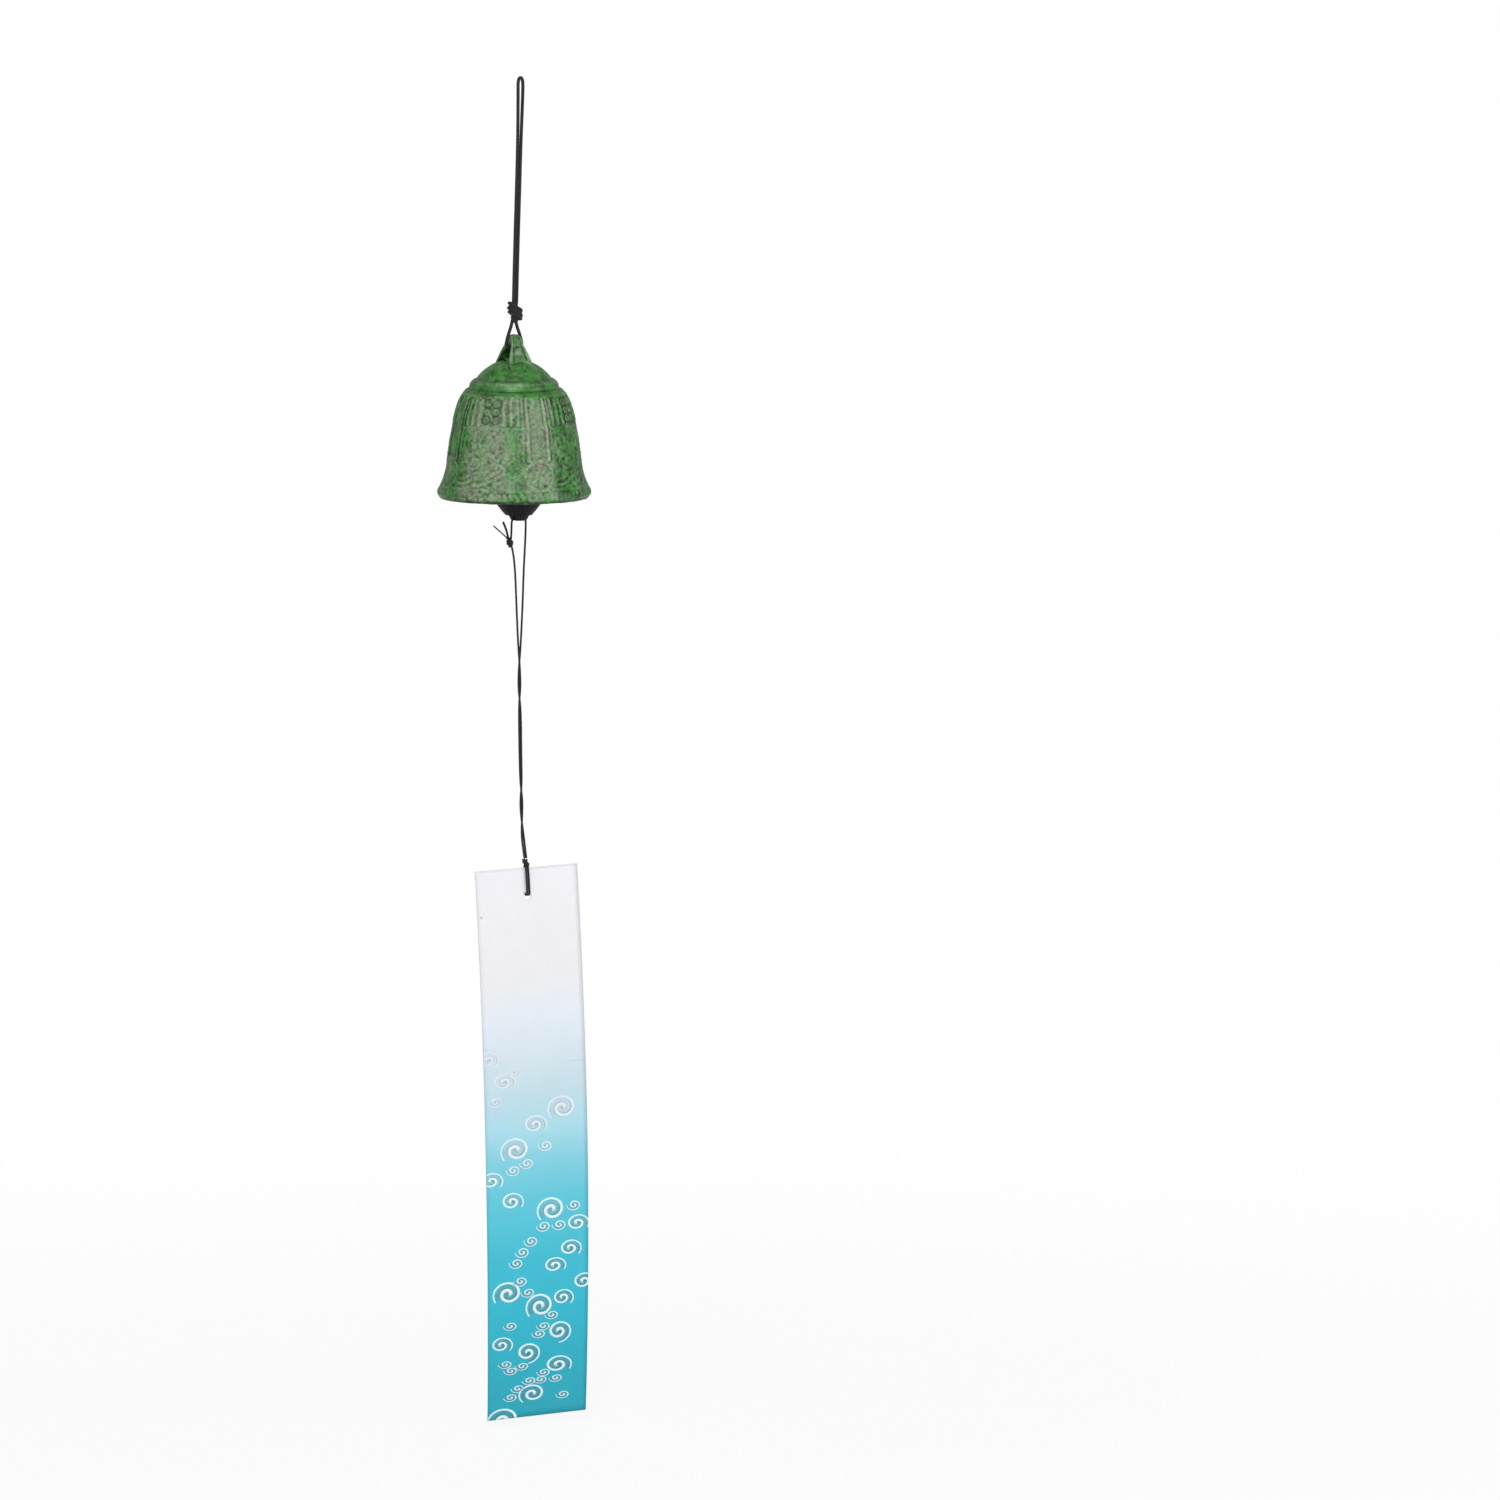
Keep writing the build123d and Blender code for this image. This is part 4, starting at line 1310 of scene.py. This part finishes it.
        # Each leg has a ridge along both edges, a groove inside it, and a knob
        leg = window(level, *self.leg_rows, 0.8)
        ridges = peak(np.abs(across), self.ridge_share, 0.12) * leg
        grooves = peak(np.abs(across), self.groove_share, 0.13) * leg
        above_knob = level - self.knob_height
        knob = np.exp(-((x**2 + above_knob**2) / 1.5))
        lift = outside * (0.3 * ridges - 0.3 * grooves + 0.9 * knob)
        lift += 0.05 * sand_noise(np.tile(angles / 2 / math.pi, (self.crown_rows, 1)), level, 16, 1.3, 9)
        d = d + lift
        y = middle[:, 0][:, None] + facing[:, 0][:, None] * d
        z = middle[:, 1][:, None] + facing[:, 1][:, None] * d
        corners = np.stack([self.axis_x + x, y, self.rim_z + z], axis=2)
        # Ridges and knob are rubbed pale, and the grooves get darker lacquer and painted shade
        wear_and_shade = outside * (1.1 * ridges - 0.9 * grooves + 1.2 * knob) + 0.1
        # Painted shade above and below the knob, and inside the arch, whose far leg lies in the near leg's
        # shade
        far = np.hypot(x, above_knob)
        wear_and_shade -= 1.0 * peak(far, 2.0, 0.55) * outside * (above_knob / np.maximum(far, 0.1)) ** 2
        eye = ramp_share(-deep, 0.25, 0.8) * np.ones_like(wear_and_shade)
        wear_and_shade -= 1.3 * eye
        # Dust lies thicker on the ridges and thinner inside the arch, which deepens its painted shade
        dust = np.full_like(wear_and_shade, 0.3) + 0.25 * ridges - 0.3 * eye
        faces = wound_faces(first, self.crown_rows, count, flip=True)
        return corners.reshape(-1, 3), faces, np.clip(wear_and_shade, -1, 1).ravel(), dust.ravel()

    def build(self, lacquer: bpy.types.Material) -> None:
        """Makes the casting and its ring studs.

        Args:
            lacquer: the casting's material.
        """
        corners, faces, wear_and_shade, dust = self.shell()
        crown_corners, crown_faces, crown_wear, crown_dust = self.crown(len(corners))
        whole = np.concatenate([corners, crown_corners])
        casting = new_piece("bell_casting", whole, faces + crown_faces, lacquer)
        set_values(casting, "wear_and_shade", np.concatenate([wear_and_shade, crown_wear]))
        set_values(casting, "dust", np.concatenate([dust, crown_dust]))
        seat(casting, "casting", ["bell"])
        studs = RingStuds(self).build(lacquer)
        seat(studs, "casting")


def growth(name: str, sizes: Sequence[str], result: str) -> tuple[bpy.types.NodeTree, Adder, bpy.types.Node]:
    """Starts a geometry tree that grows something on points.

    Args:
        name: the tree's name.
        sizes: names of its inputs after the points.
        result: name of its output.

    Returns:
        The tree, add_node for it, and the node that gives its inputs.
    """
    tree = bpy.data.node_groups.new(name, "GeometryNodeTree")
    tree.interface.new_socket("Points", in_out="INPUT", socket_type="NodeSocketGeometry")
    for size in sizes:
        tree.interface.new_socket(size, in_out="INPUT", socket_type="NodeSocketFloat")
    tree.interface.new_socket(result, in_out="OUTPUT", socket_type="NodeSocketGeometry")
    add = partial(add_node, tree)
    return tree, add, add("NodeGroupInput")


def grown(
    name: str,
    tree: bpy.types.NodeTree,
    sizes: dict[str, float],
    places: np.ndarray,
    values: dict[str, np.ndarray],
    material: bpy.types.Material,
) -> bpy.types.Object:
    """Runs a geometry tree on points and keeps the result as a plain mesh.

    Args:
        name: the new piece's name.
        tree: the tree, whose first input is the points.
        sizes: the tree's other inputs.
        places: the points, in millimetres.
        values: the vector that each point carries, by name.
        material: the piece's material.

    Returns:
        The piece.
    """
    seed = new_piece(name + "_points", places, [], material)
    for key, column in values.items():
        field = seed.data.attributes.new(key, "FLOAT_VECTOR", "POINT")
        field.data.foreach_set("vector", column.astype(np.float32).ravel())
    modifier = seed.modifiers.new("grow", "NODES")
    modifier.node_group = tree
    for socket in tree.interface.items_tree:
        if socket.name in sizes:
            modifier[socket.identifier] = sizes[socket.name]
    bpy.context.view_layer.update()
    mesh = bpy.data.meshes.new_from_object(seed.evaluated_get(bpy.context.evaluated_depsgraph_get()))
    mesh.name = name
    mesh.shade_smooth()
    piece = bpy.data.objects.new(name, mesh)
    bpy.context.scene.collection.objects.link(piece)
    points = seed.data
    bpy.data.objects.remove(seed)
    bpy.data.meshes.remove(points)
    return piece


@dataclass(frozen=True)
class RingStuds:
    """Rings cast on the upper fields, two columns of three on each. Sizes are in millimetres."""

    casting: BellCasting
    ring: float = 2.3
    wire: float = 0.7
    columns: Pair = (-4.9, 4.9)
    rows: Triple = (34.7, 38.1, 41.4)
    wear_and_shade: float = 0.2
    dust: float = 0.55

    def tree(self, lacquer: bpy.types.Material) -> bpy.types.NodeTree:
        """Builds the tree that sets a ring on each point, flat on the wall.

        Args:
            lacquer: the rings' material.

        Returns:
            The tree.
        """
        tree, add, given = growth("ring_studs", ("Ring Diameter", "Wire Diameter"), "Studs")
        circles = {}
        for size, corners in (("Ring Diameter", 20), ("Wire Diameter", 8)):
            radius = add("ShaderNodeMath", {0: given.outputs[size], 1: 0.5}, operation="MULTIPLY")
            circles[size] = add("GeometryNodeCurvePrimitiveCircle", {"Resolution": corners, "Radius": radius})
        ring, wire = circles["Ring Diameter"], circles["Wire Diameter"]
        stud = add("GeometryNodeCurveToMesh", {"Curve": ring, "Profile Curve": wire})
        outward = add("GeometryNodeInputNamedAttribute", {"Name": "outward"}, data_type="FLOAT_VECTOR")
        facing = add("FunctionNodeAlignRotationToVector", {"Vector": outward}, axis="Z")
        placed = add("GeometryNodeInstanceOnPoints", {"Points": given, "Instance": stud, "Rotation": facing})
        real = add("GeometryNodeRealizeInstances", {"Geometry": placed})
        dressed = add("GeometryNodeSetMaterial", {"Geometry": real, "Material": lacquer})
        add("NodeGroupOutput", {0: dressed})
        return tree

    def build(self, lacquer: bpy.types.Material) -> bpy.types.Object:
        """Returns the studs as one piece."""
        rows, inner = self.casting.outline()
        radii, heights = rows[inner:].T
        places, outwards = [], []
        for quarter in range(4):
            for column in self.columns:
                angle = math.radians(45 + 90 * quarter + column + self.casting.pattern_turn)
                x, y = math.sin(angle), -math.cos(angle)
                for height in self.rows:
                    radius = np.interp(height, heights, radii)
                    slope = np.interp(height + 1, heights, radii) - radius
                    places.append((self.casting.axis_x + radius * x, radius * y, self.casting.rim_z + height))
                    outwards.append((x, y, -slope))
        sizes = {"Ring Diameter": self.ring * MM, "Wire Diameter": self.wire * MM}
        values = {"outward": np.array(outwards)}
        studs = grown("bell_ring_studs", self.tree(lacquer), sizes, np.array(places), values, lacquer)
        count = len(studs.data.vertices)
        set_values(studs, "wear_and_shade", np.full(count, self.wear_and_shade))
        set_values(studs, "dust", np.full(count, self.dust))
        return studs


# Paper strip


@dataclass(frozen=True)
class PaperStrip:
    """The long card that catches the wind. Sizes are in millimetres, and angles in degrees."""

    knot: Point = (2.0, 0.0, -331.6)
    top_drop: float = 1.9
    length: float = 234.0
    width: float = 48.0
    thickness: float = 0.5
    hole: float = 3.4
    hole_drop: float = 12.0
    tilt: float = 1.17
    curl: float = 9.8
    twist: float = 4.0
    twist_start: float = 90.0
    # The ink's thickness, how far from the card's edges it stops, and how many corners a bit of it needs
    ink: float = 0.04
    margin: float = 0.05
    least: int = 40
    # Half the side of the fine patch round the hole, and how many cells are in it, beside, above and below it
    patch: float = 4.0
    patch_cells: int = 8
    side_cells: int = 8
    top_cells: int = 4
    foot_cells: int = 72

    def place(self, across: np.ndarray, down: np.ndarray, lift: np.ndarray) -> np.ndarray:
        """Bends flat places onto the hanging card.

        Args:
            across: millimetres to the right of the card's middle line.
            down: millimetres below its top edge.
            lift: millimetres in front of its middle surface.

        Returns:
            The places, in millimetres.
        """
        across, down, lift = (np.asarray(values, dtype=float)[..., None] for values in (across, down, lift))
        tilt, lean = math.radians(self.tilt), math.radians(self.curl / 2)
        right = np.array([math.cos(tilt), 0, math.sin(tilt)])
        up = np.array([-math.sin(tilt) * math.cos(lean), math.sin(lean), math.cos(tilt) * math.cos(lean)])
        front = np.cross(right, up)
        bend = self.length / math.radians(self.curl)
        angle = down / bend
        normal = front * np.cos(angle) - up * np.sin(angle)
        sunk = front * bend * (1 - np.cos(angle))
        middle = np.array(self.knot) - sunk - up * (self.top_drop + bend * np.sin(angle))
        share = ramp_share(down, self.twist_start, 2 * self.length - self.twist_start)
        turn = 2 * math.radians(self.twist) * share
        turned = right * np.cos(turn) - normal * np.sin(turn)
        facing = normal * np.cos(turn) + right * np.sin(turn)
        return middle + turned * across + facing * lift

    def flat(self) -> tuple[np.ndarray, list[list[int]]]:
        """The flat card with its hole.

        Returns:
            Places as across and down, and faces.
        """
        half, patch, cells = self.width / 2, self.patch, self.patch_cells
        left, top = self.side_cells, self.top_cells
        outside = np.linspace(-half, -patch, left + 1)[:-1]
        inside = np.linspace(-patch, patch, cells + 1)[:-1]
        columns = np.concatenate([outside, inside, np.linspace(patch, half, left + 1)])
        start, end = self.hole_drop - patch, self.hole_drop + patch
        outside = np.linspace(0, start, top + 1)[:-1]
        inside = np.linspace(start, end, cells + 1)[:-1]
        rows = np.concatenate([outside, inside, np.linspace(end, self.length, self.foot_cells + 1)])
        points = [(x, y) for y in rows for x in columns]
        count = len(columns)
        faces = []
        for row in range(len(rows) - 1):
            for column in range(count - 1):
                if left <= column < left + cells and top <= row < top + cells:
                    continue
                low = row * count + column
                faces.append([low, low + count, low + count + 1, low + 1])
        # Round the patch's edge, then in rings that turn it into the round hole
        steps, right, foot = range(cells), left + cells, top + cells
        edge = [(left + k, top) for k in steps] + [(right, top + k) for k in steps]
        edge += [(right - k, foot) for k in steps] + [(left, foot - k) for k in steps]
        ring = [row * count + column for column, row in edge]
        rim = self.hole / 2
        for share in (0.4, 0.75, 1.0):
            fresh = []
            for column, row in edge:
                x, y = columns[column], rows[row] - self.hole_drop
                far = math.hypot(x, y)
                fresh.append(len(points))
                across = x + (x / far * rim - x) * share
                down = self.hole_drop + y + (y / far * rim - y) * share
                points.append((across, down))
            for k in range(len(ring)):
                n = (k + 1) % len(ring)
                faces.append([ring[k], fresh[k], fresh[n], ring[n]])
            ring = fresh
        return np.array(points), faces

    def shares(self, flat: np.ndarray) -> np.ndarray:
        """Turns flat places into shares of the way across and down the card, for its UV map."""
        return np.stack([flat[:, 0] / self.width + 0.5, flat[:, 1] / self.length], axis=1)

    def card(self, paper: bpy.types.Material) -> bpy.types.Object:
        """Makes the card, both faces and its cut edges."""
        flat, faces = self.flat()
        half, count = self.thickness / 2, len(flat)
        front, back = (self.place(flat[:, 0], flat[:, 1], np.full(count, side)) for side in (half, -half))
        # A side that no neighbour runs the other way lies on the card's outline or its hole
        sides = [(a, b) for face in faces for a, b in zip(face, face[1:] + face[:1])]
        known = set(sides)
        rims = [[b, a, a + count, b + count] for a, b in sides if (b, a) not in known]
        whole = faces + [[k + count for k in reversed(face)] for face in faces] + rims
        card = new_piece("paper_strip_card", np.concatenate([front, back]), whole, paper)
        for polygon in card.data.polygons[-len(rims) :]:
            polygon.use_smooth = False
        places = self.shares(flat)
        set_places(card, np.concatenate([places, places]))
        return card

    def spirals(self) -> tuple[np.ndarray, np.ndarray]:
        """Where the printed spirals are and how each lies.

        Returns:
            Across, down, width and height of each, and its turns about the three axes.
        """
        # The large ones' tails end below on the left, the middling ones' below on the right
        large = [
            (12.6, 102.8, 15, 12), (-9.9, 119.3, 15, 12), (6.6, 145.8, 14.5, 12), (-14.4, 180.3, 15, 11.5),
            (1.1, 186.8, 14.5, 12), (-2.4, 224.3, 14, 9), (-16.2, 234.5, 17, 11.5),
        ]  # fmt: skip
        middling = [
            (-22.3, 80, 11.5, 8), (-14.8, 90, 11.5, 8.5), (-0.8, 109, 12, 9), (-21.8, 131.5, 11.5, 8),
            (-12.3, 141, 11.5, 8.5), (18.7, 152.5, 11.5, 8), (15.2, 163, 11.5, 8), (7.7, 169.8, 11.5, 7.5),
            (21.7, 177.8, 11.5, 8), (11.7, 184, 11, 8), (-17.8, 202, 11.5, 7.5), (9.7, 212.8, 14, 8.5),
            (10, 198.3, 13, 10), (-5, 206.3, 13, 9.5),
        ]  # fmt: skip
        small = [
            (-9.5, 86), (-18.8, 98), (4.2, 118.2), (-4.8, 125.2), (-11.3, 127.7), (17.2, 144.7), (2.7, 152.6),
            (10.2, 152.6), (-3.3, 158.6), (-7.4, 163), (-10.4, 167.5), (-8.4, 175.4), (-4.8, 180.5),
            (6.7, 191), (-13.3, 194.2), (2.7, 195.5), (0.5, 198.7), (-15.6, 210.5), (-13, 213.5), (-7.5, 212),
            (3, 215.5), (-4, 218.5), (1.5, 218.5), (9, 218.5), (-9.5, 221.5), (-13, 225), (12.5, 226),
        ]  # fmt: skip
        # The small ones' tails end above on the left, and the print flattens them further down
        width, height, flattening = 7.0, 5.1, 1.3
        flatter = flattening * ramp_share(np.array([y for _, y in small]), 150, 215)
        spots = large + middling
        spots += [(x, y, width, height - float(less)) for (x, y), less in zip(small, flatter)]
        # Turns in radians: none lie quite level, the small ones lean, and so do the last two middling ones
        unevenness, lean, back_lean = 0.12, 0.6, -0.8
        starts = np.zeros((len(spots), 3))
        starts[:, 2] = np.random.default_rng(21).uniform(-unevenness, unevenness, len(spots))
        first_small = len(large) + len(middling)
        starts[len(large) : first_small, 1] = math.pi
        starts[first_small:, 0] = math.pi
        starts[first_small:, 2] += lean
        starts[first_small - 2 : first_small, 2] += back_lean
        return np.array(spots), starts

    def spiral_tree(self, name: str, ink: bpy.types.Material) -> bpy.types.NodeTree:
        """Builds the tree that lays a spiral on each point, thick inside and thin at its tail.

        Args:
            name: the tree's name.
            ink: the spirals' material.

        Returns:
            The tree.
        """
        sizes = ("Turns", "Inner Width", "Tail Width", "Reach", "Turn")
        tree, add, given = growth(name, sizes, "Spirals")
        turns, inner, tail, reach, turn = (given.outputs[size] for size in sizes)
        arm = {"Resolution": 20, "Rotations": turns, "Start Radius": 0.03, "End Radius": reach, "Height": 0.0}
        spiral = add("GeometryNodeCurveSpiral", {**arm, "Reverse": True})
        along = add("GeometryNodeSplineParameter").outputs["Factor"]
        thin = add("ShaderNodeMapRange", {"Value": along, "To Min": inner, "To Max": tail})
        film = add("GeometryNodeCurvePrimitiveQuadrilateral", {"Width": 1.0, "Height": 1.0}, mode="RECTANGLE")
        swept = {"Curve": spiral, "Profile Curve": film, "Scale": thin, "Fill Caps": True}
        ribbon = add("GeometryNodeCurveToMesh", swept)
        spin = add("ShaderNodeCombineXYZ", {2: turn})
        level = add("GeometryNodeTransform", {"Geometry": ribbon, "Rotation": spin})
        carried = {
            key: add("GeometryNodeInputNamedAttribute", {"Name": key}, data_type="FLOAT_VECTOR")
            for key in ("start", "size", "middle")
        }
        facing = add("FunctionNodeEulerToRotation", {0: carried["start"]})
        placed = add("GeometryNodeInstanceOnPoints", {"Points": given, "Instance": level, "Rotation": facing})
        real = add("GeometryNodeRealizeInstances", {"Geometry": placed})
        # Each spiral is brought to its size last, so its turn doesn't skew it
        where = add("GeometryNodeInputPosition")
        middle = carried["middle"]
        off = add("ShaderNodeVectorMath", {0: where, 1: middle}, operation="SUBTRACT")
        sized = add("ShaderNodeVectorMath", {0: off, 1: carried["size"], 2: middle}, operation="MULTIPLY_ADD")
        moved = add("GeometryNodeSetPosition", {"Geometry": real, "Position": sized})
        dressed = add("GeometryNodeSetMaterial", {"Geometry": moved, "Material": ink})
        add("NodeGroupOutput", {0: dressed})
        return tree

    def drop_crumbs(self, shape: bmesh.types.BMesh) -> None:
        """Takes away what a cut left of a spiral, where it has fewer corners than the least."""
        waiting = set(shape.verts)
        while waiting:
            group, fresh = set(), [waiting.pop()]
            while fresh:
                corner = fresh.pop()
                group.add(corner)
                for edge in corner.link_edges:
                    other = edge.other_vert(corner)
                    if other in waiting:
                        waiting.remove(other)
                        fresh.append(other)
            if len(group) < self.least:
                bmesh.ops.delete(shape, geom=list(group), context="VERTS")

    def trim(self, piece: bpy.types.Object) -> None:
        """Cuts a flat print off at the card's edges and closes the cuts."""
        shape = bmesh.new()
        shape.from_mesh(piece.data)
        side, foot = (self.width / 2 - self.margin) * MM, -(self.length - self.margin) * MM
        cuts = [((side, 0, 0), (1, 0, 0)), ((-side, 0, 0), (-1, 0, 0)), ((0, foot, 0), (0, -1, 0))]
        for point, normal in cuts:
            whole = shape.verts[:] + shape.edges[:] + shape.faces[:]
            cut = bmesh.ops.bisect_plane(shape, geom=whole, plane_co=point, plane_no=normal, clear_outer=True)
            rims = [item for item in cut["geom_cut"] if isinstance(item, bmesh.types.BMEdge)]
            bmesh.ops.holes_fill(shape, edges=rims, sides=0)
        self.drop_crumbs(shape)
        shape.to_mesh(piece.data)
        shape.free()

    def print_spirals(
        self, name: str, ink: bpy.types.Material, sizes: dict[str, float], film: float
    ) -> bpy.types.Object:
        """Prints spirals on the card's front, cut off at its edges.

        Args:
            name: the print's name.
            ink: its material.
            sizes: the spirals' turns, widths, reach and turn, for one that is 1 wide.
            film: how far the print stands out.

        Returns:
            The print as one piece.
        """
        spots, starts = self.spirals()
        places = np.stack([spots[:, 0], -spots[:, 1], np.zeros(len(spots))], axis=1)
        extents = np.stack([spots[:, 2], spots[:, 3], spots[:, 3]], axis=1)
        values = {"start": starts, "size": extents * MM, "middle": places * MM}
        piece = grown(name, self.spiral_tree(name, ink), sizes, places, values, ink)
        self.trim(piece)
        corners = np.zeros(len(piece.data.vertices) * 3)
        piece.data.vertices.foreach_get("co", corners)
        flat = corners.reshape(-1, 3) / MM
        set_places(piece, self.shares(flat[:, :2] * (1, -1)))
        lift = self.thickness / 2 + np.where(flat[:, 2] > 0, film, -film)
        bent = self.place(flat[:, 0], -flat[:, 1], lift) * MM
        piece.data.vertices.foreach_set("co", bent.ravel())
        piece.data.update()
        weld_seam(piece)
        return piece

    def build(self, paper: bpy.types.Material) -> None:
        """Makes the card with its two prints and the loop of string through its hole.

        Args:
            paper: the card's material.
        """
        loop = self.loop()
        start = math.radians(-50)
        white = {"Turns": 1.75, "Inner Width": 0.12, "Tail Width": 0.045, "Reach": 0.5, "Turn": start}
        # The grey runs half a turn behind the white, between its arms
        behind = math.radians(130)
        grey = {"Turns": 1.25, "Inner Width": 0.16, "Tail Width": 0.12, "Reach": 0.366, "Turn": behind}
        prints = [
            self.print_spirals("printed_spirals", WHITE_INK.make(), white, self.ink),
            self.print_spirals("printed_shades", GREY_INK.make(), grey, self.ink / 2),
        ]
        for piece in prints:
            seat(piece, "card")
        card = self.card(paper)
        seat(card, "card", ["paper_strip"])

    def loop(self) -> bpy.types.Object:
        """Makes the doubled string through the hole, which starts and ends in the strip's knot."""
        # Across, up from the top edge, and forward: down the front, through the hole and up behind, twice
        turns = [
            (-0.5, 1.6, 0.2), (-0.52, 0.2, 1.0), (-0.52, -5.0, 1.05), (-0.52, -10.1, 1.05),
            (-0.52, -11.6, 1.0), (-0.52, -11.6, -1.0), (-0.52, -10.1, -1.05), (-0.52, -5.0, -1.05),
            (-0.4, 0.2, -1.0), (-0.1, 1.9, -0.3), (0.3, 1.9, 0.3), (0.52, 0.2, 1.0), (0.52, -5.0, 1.05),
            (0.52, -10.1, 1.05), (0.52, -11.6, 1.0), (0.52, -11.6, -1.0), (0.52, -10.1, -1.05),
            (0.52, -5.0, -1.05), (0.52, 0.2, -1.0), (0.5, 1.6, -0.2),
        ]  # fmt: skip
        route = [tuple(self.place(x, -up, forward)) for x, up, forward in turns]
        return Cord("strip_string_loop", "card", "strip_loop", SHORT_STRING, 56.0, route).build()


# Stage


@dataclass(frozen=True)
class Stage:
    """The floor, lamps and camera. Sizes are in metres, and angles in degrees."""

    floor_z: float = -0.571
    floor_half: float = 4.0
    floor_colour: str = "#F6F6F6"
    azimuth: float = -27.0
    elevation: float = 6.5
    distance: float = 9.0
    frame_width: float = 0.630
    right_shift: float = 0.0964
    drop: float = 0.2817
    sensor: float = 36.0
    farthest: float = 60.0
    lamp_aim: Point = (0, 0, -0.25)
    # Name, place, side and power in watts of each soft lamp, and whether glossy surfaces mirror it
    lamps: tuple[tuple[str, Point, float, float, bool], ...] = (
        ("key", (-1.3, -1.9, 1.1), 0.9, 28, True),
        ("top", (-0.5, -0.8, 1.6), 0.4, 5, True),
        ("fill", (1.5, -1.9, 0.2), 1.2, 13, True),
        ("low", (-0.6, -2.0, -0.5), 0.9, 6, True),
        ("back", (1.0, 2.0, -0.2), 1.6, 20, False),
    )
    sky_strength: float = 0.36

    def camera(self) -> None:
        """Sets the camera a long way off, as a long lens sees the object."""
        turn, rise = math.radians(self.azimuth), math.radians(self.elevation)
        back = np.array([math.sin(turn) * math.cos(rise), -math.cos(turn) * math.cos(rise), math.sin(rise)])
        right = np.array([math.cos(turn), math.sin(turn), 0])
        up = np.cross(back, right)
        aim = right * self.right_shift - up * self.drop
        data = bpy.data.cameras.new("camera")
        data.sensor_width = self.sensor
        data.lens = self.sensor * self.distance / self.frame_width
        data.clip_end = self.farthest
        camera = bpy.data.objects.new("camera", data)
        camera.location = aim + back * self.distance
        camera.rotation_euler = (math.pi / 2 - rise, 0, turn)
        bpy.context.scene.collection.objects.link(camera)
        bpy.context.scene.camera = camera

    def light(self) -> None:
        """Adds the soft square lamps, which look at the bell."""
        for name, place, size, power, glints in self.lamps:
            data = bpy.data.lights.new(name, "AREA")
            data.size = size
            data.energy = power
            lamp = bpy.data.objects.new(name, data)
            lamp.location = place
            lamp.visible_glossy = glints
            aim = np.array(self.lamp_aim) - np.array(place)
            flat = math.hypot(aim[0], aim[1])
            lamp.rotation_euler = (math.atan2(flat, -aim[2]), 0, math.atan2(-aim[0], aim[1]))
            bpy.context.scene.collection.objects.link(lamp)

    def floor(self) -> None:
        """Lays the pale floor, which fades to white away from the object."""
        material, add, surface = new_material("pale_matt_floor")
        feed(surface, {"Base Color": srgb(self.floor_colour), "Roughness": 0.6})
        output = surface.outputs[0].links[0].to_node
        place = add("ShaderNodeTexCoord").outputs["Object"]
        far = add("ShaderNodeVectorMath", {0: place}, operation="LENGTH").outputs["Value"]
        fade = add("ShaderNodeMapRange", {"Value": far, "From Min": 0.6, "From Max": 1.1, "To Min": 0.9})
        seen = add("ShaderNodeLightPath").outputs["Is Camera Ray"]
        share = add("ShaderNodeMath", {0: fade, 1: seen}, operation="MULTIPLY")
        white = add("ShaderNodeEmission")
        feed(output, {"Surface": add("ShaderNodeMixShader", {0: share, 1: surface, 2: white})})
        half, z = self.floor_half / MM, self.floor_z / MM
        corners = np.array([(-half, -half, z), (half, -half, z), (half, half, z), (-half, half, z)])
        new_piece("floor", corners, [[0, 1, 2, 3]], material)

    def world(self) -> None:
        """Sets even soft light from all round, and white behind the object."""
        world = bpy.data.worlds.new("studio")
        bpy.context.scene.world = world
        world.use_nodes = True
        world.node_tree.nodes.clear()
        add = partial(add_node, world.node_tree)
        seen = add("ShaderNodeLightPath").outputs["Is Camera Ray"]
        level = add("ShaderNodeMapRange", {"Value": seen, "To Min": self.sky_strength, "To Max": 1.0})
        sky = add("ShaderNodeBackground", {"Color": (1, 1, 1, 1), "Strength": level})
        add("ShaderNodeOutputWorld", {"Surface": sky})

    def build(self) -> None:
        """Builds the whole stage."""
        self.camera()
        self.light()
        self.floor()
        self.world()


def main() -> None:
    """Builds every piece in turn."""
    logging.basicConfig(level=logging.INFO, format="%(message)s")
    scene = bpy.context.scene
    scene.view_settings.view_transform = "Standard"
    Stage().build()
    for finish in (BRAID, STRING):
        FINISHES[finish] = finish.material()
    rigging = Rigging()
    rigging.hanging()
    rigging.clapper()
    rigging.strip()
    BellCasting().build(GreenLacquer().make())
    PaperStrip().build(PrintedCard().make())
    for node, material in (("clapper", BlackLacquer().make()), ("inner_eye", DrawnWire().make())):
        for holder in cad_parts[node].material_slots:
            holder.material = material


if __name__ == "__main__":
    main()
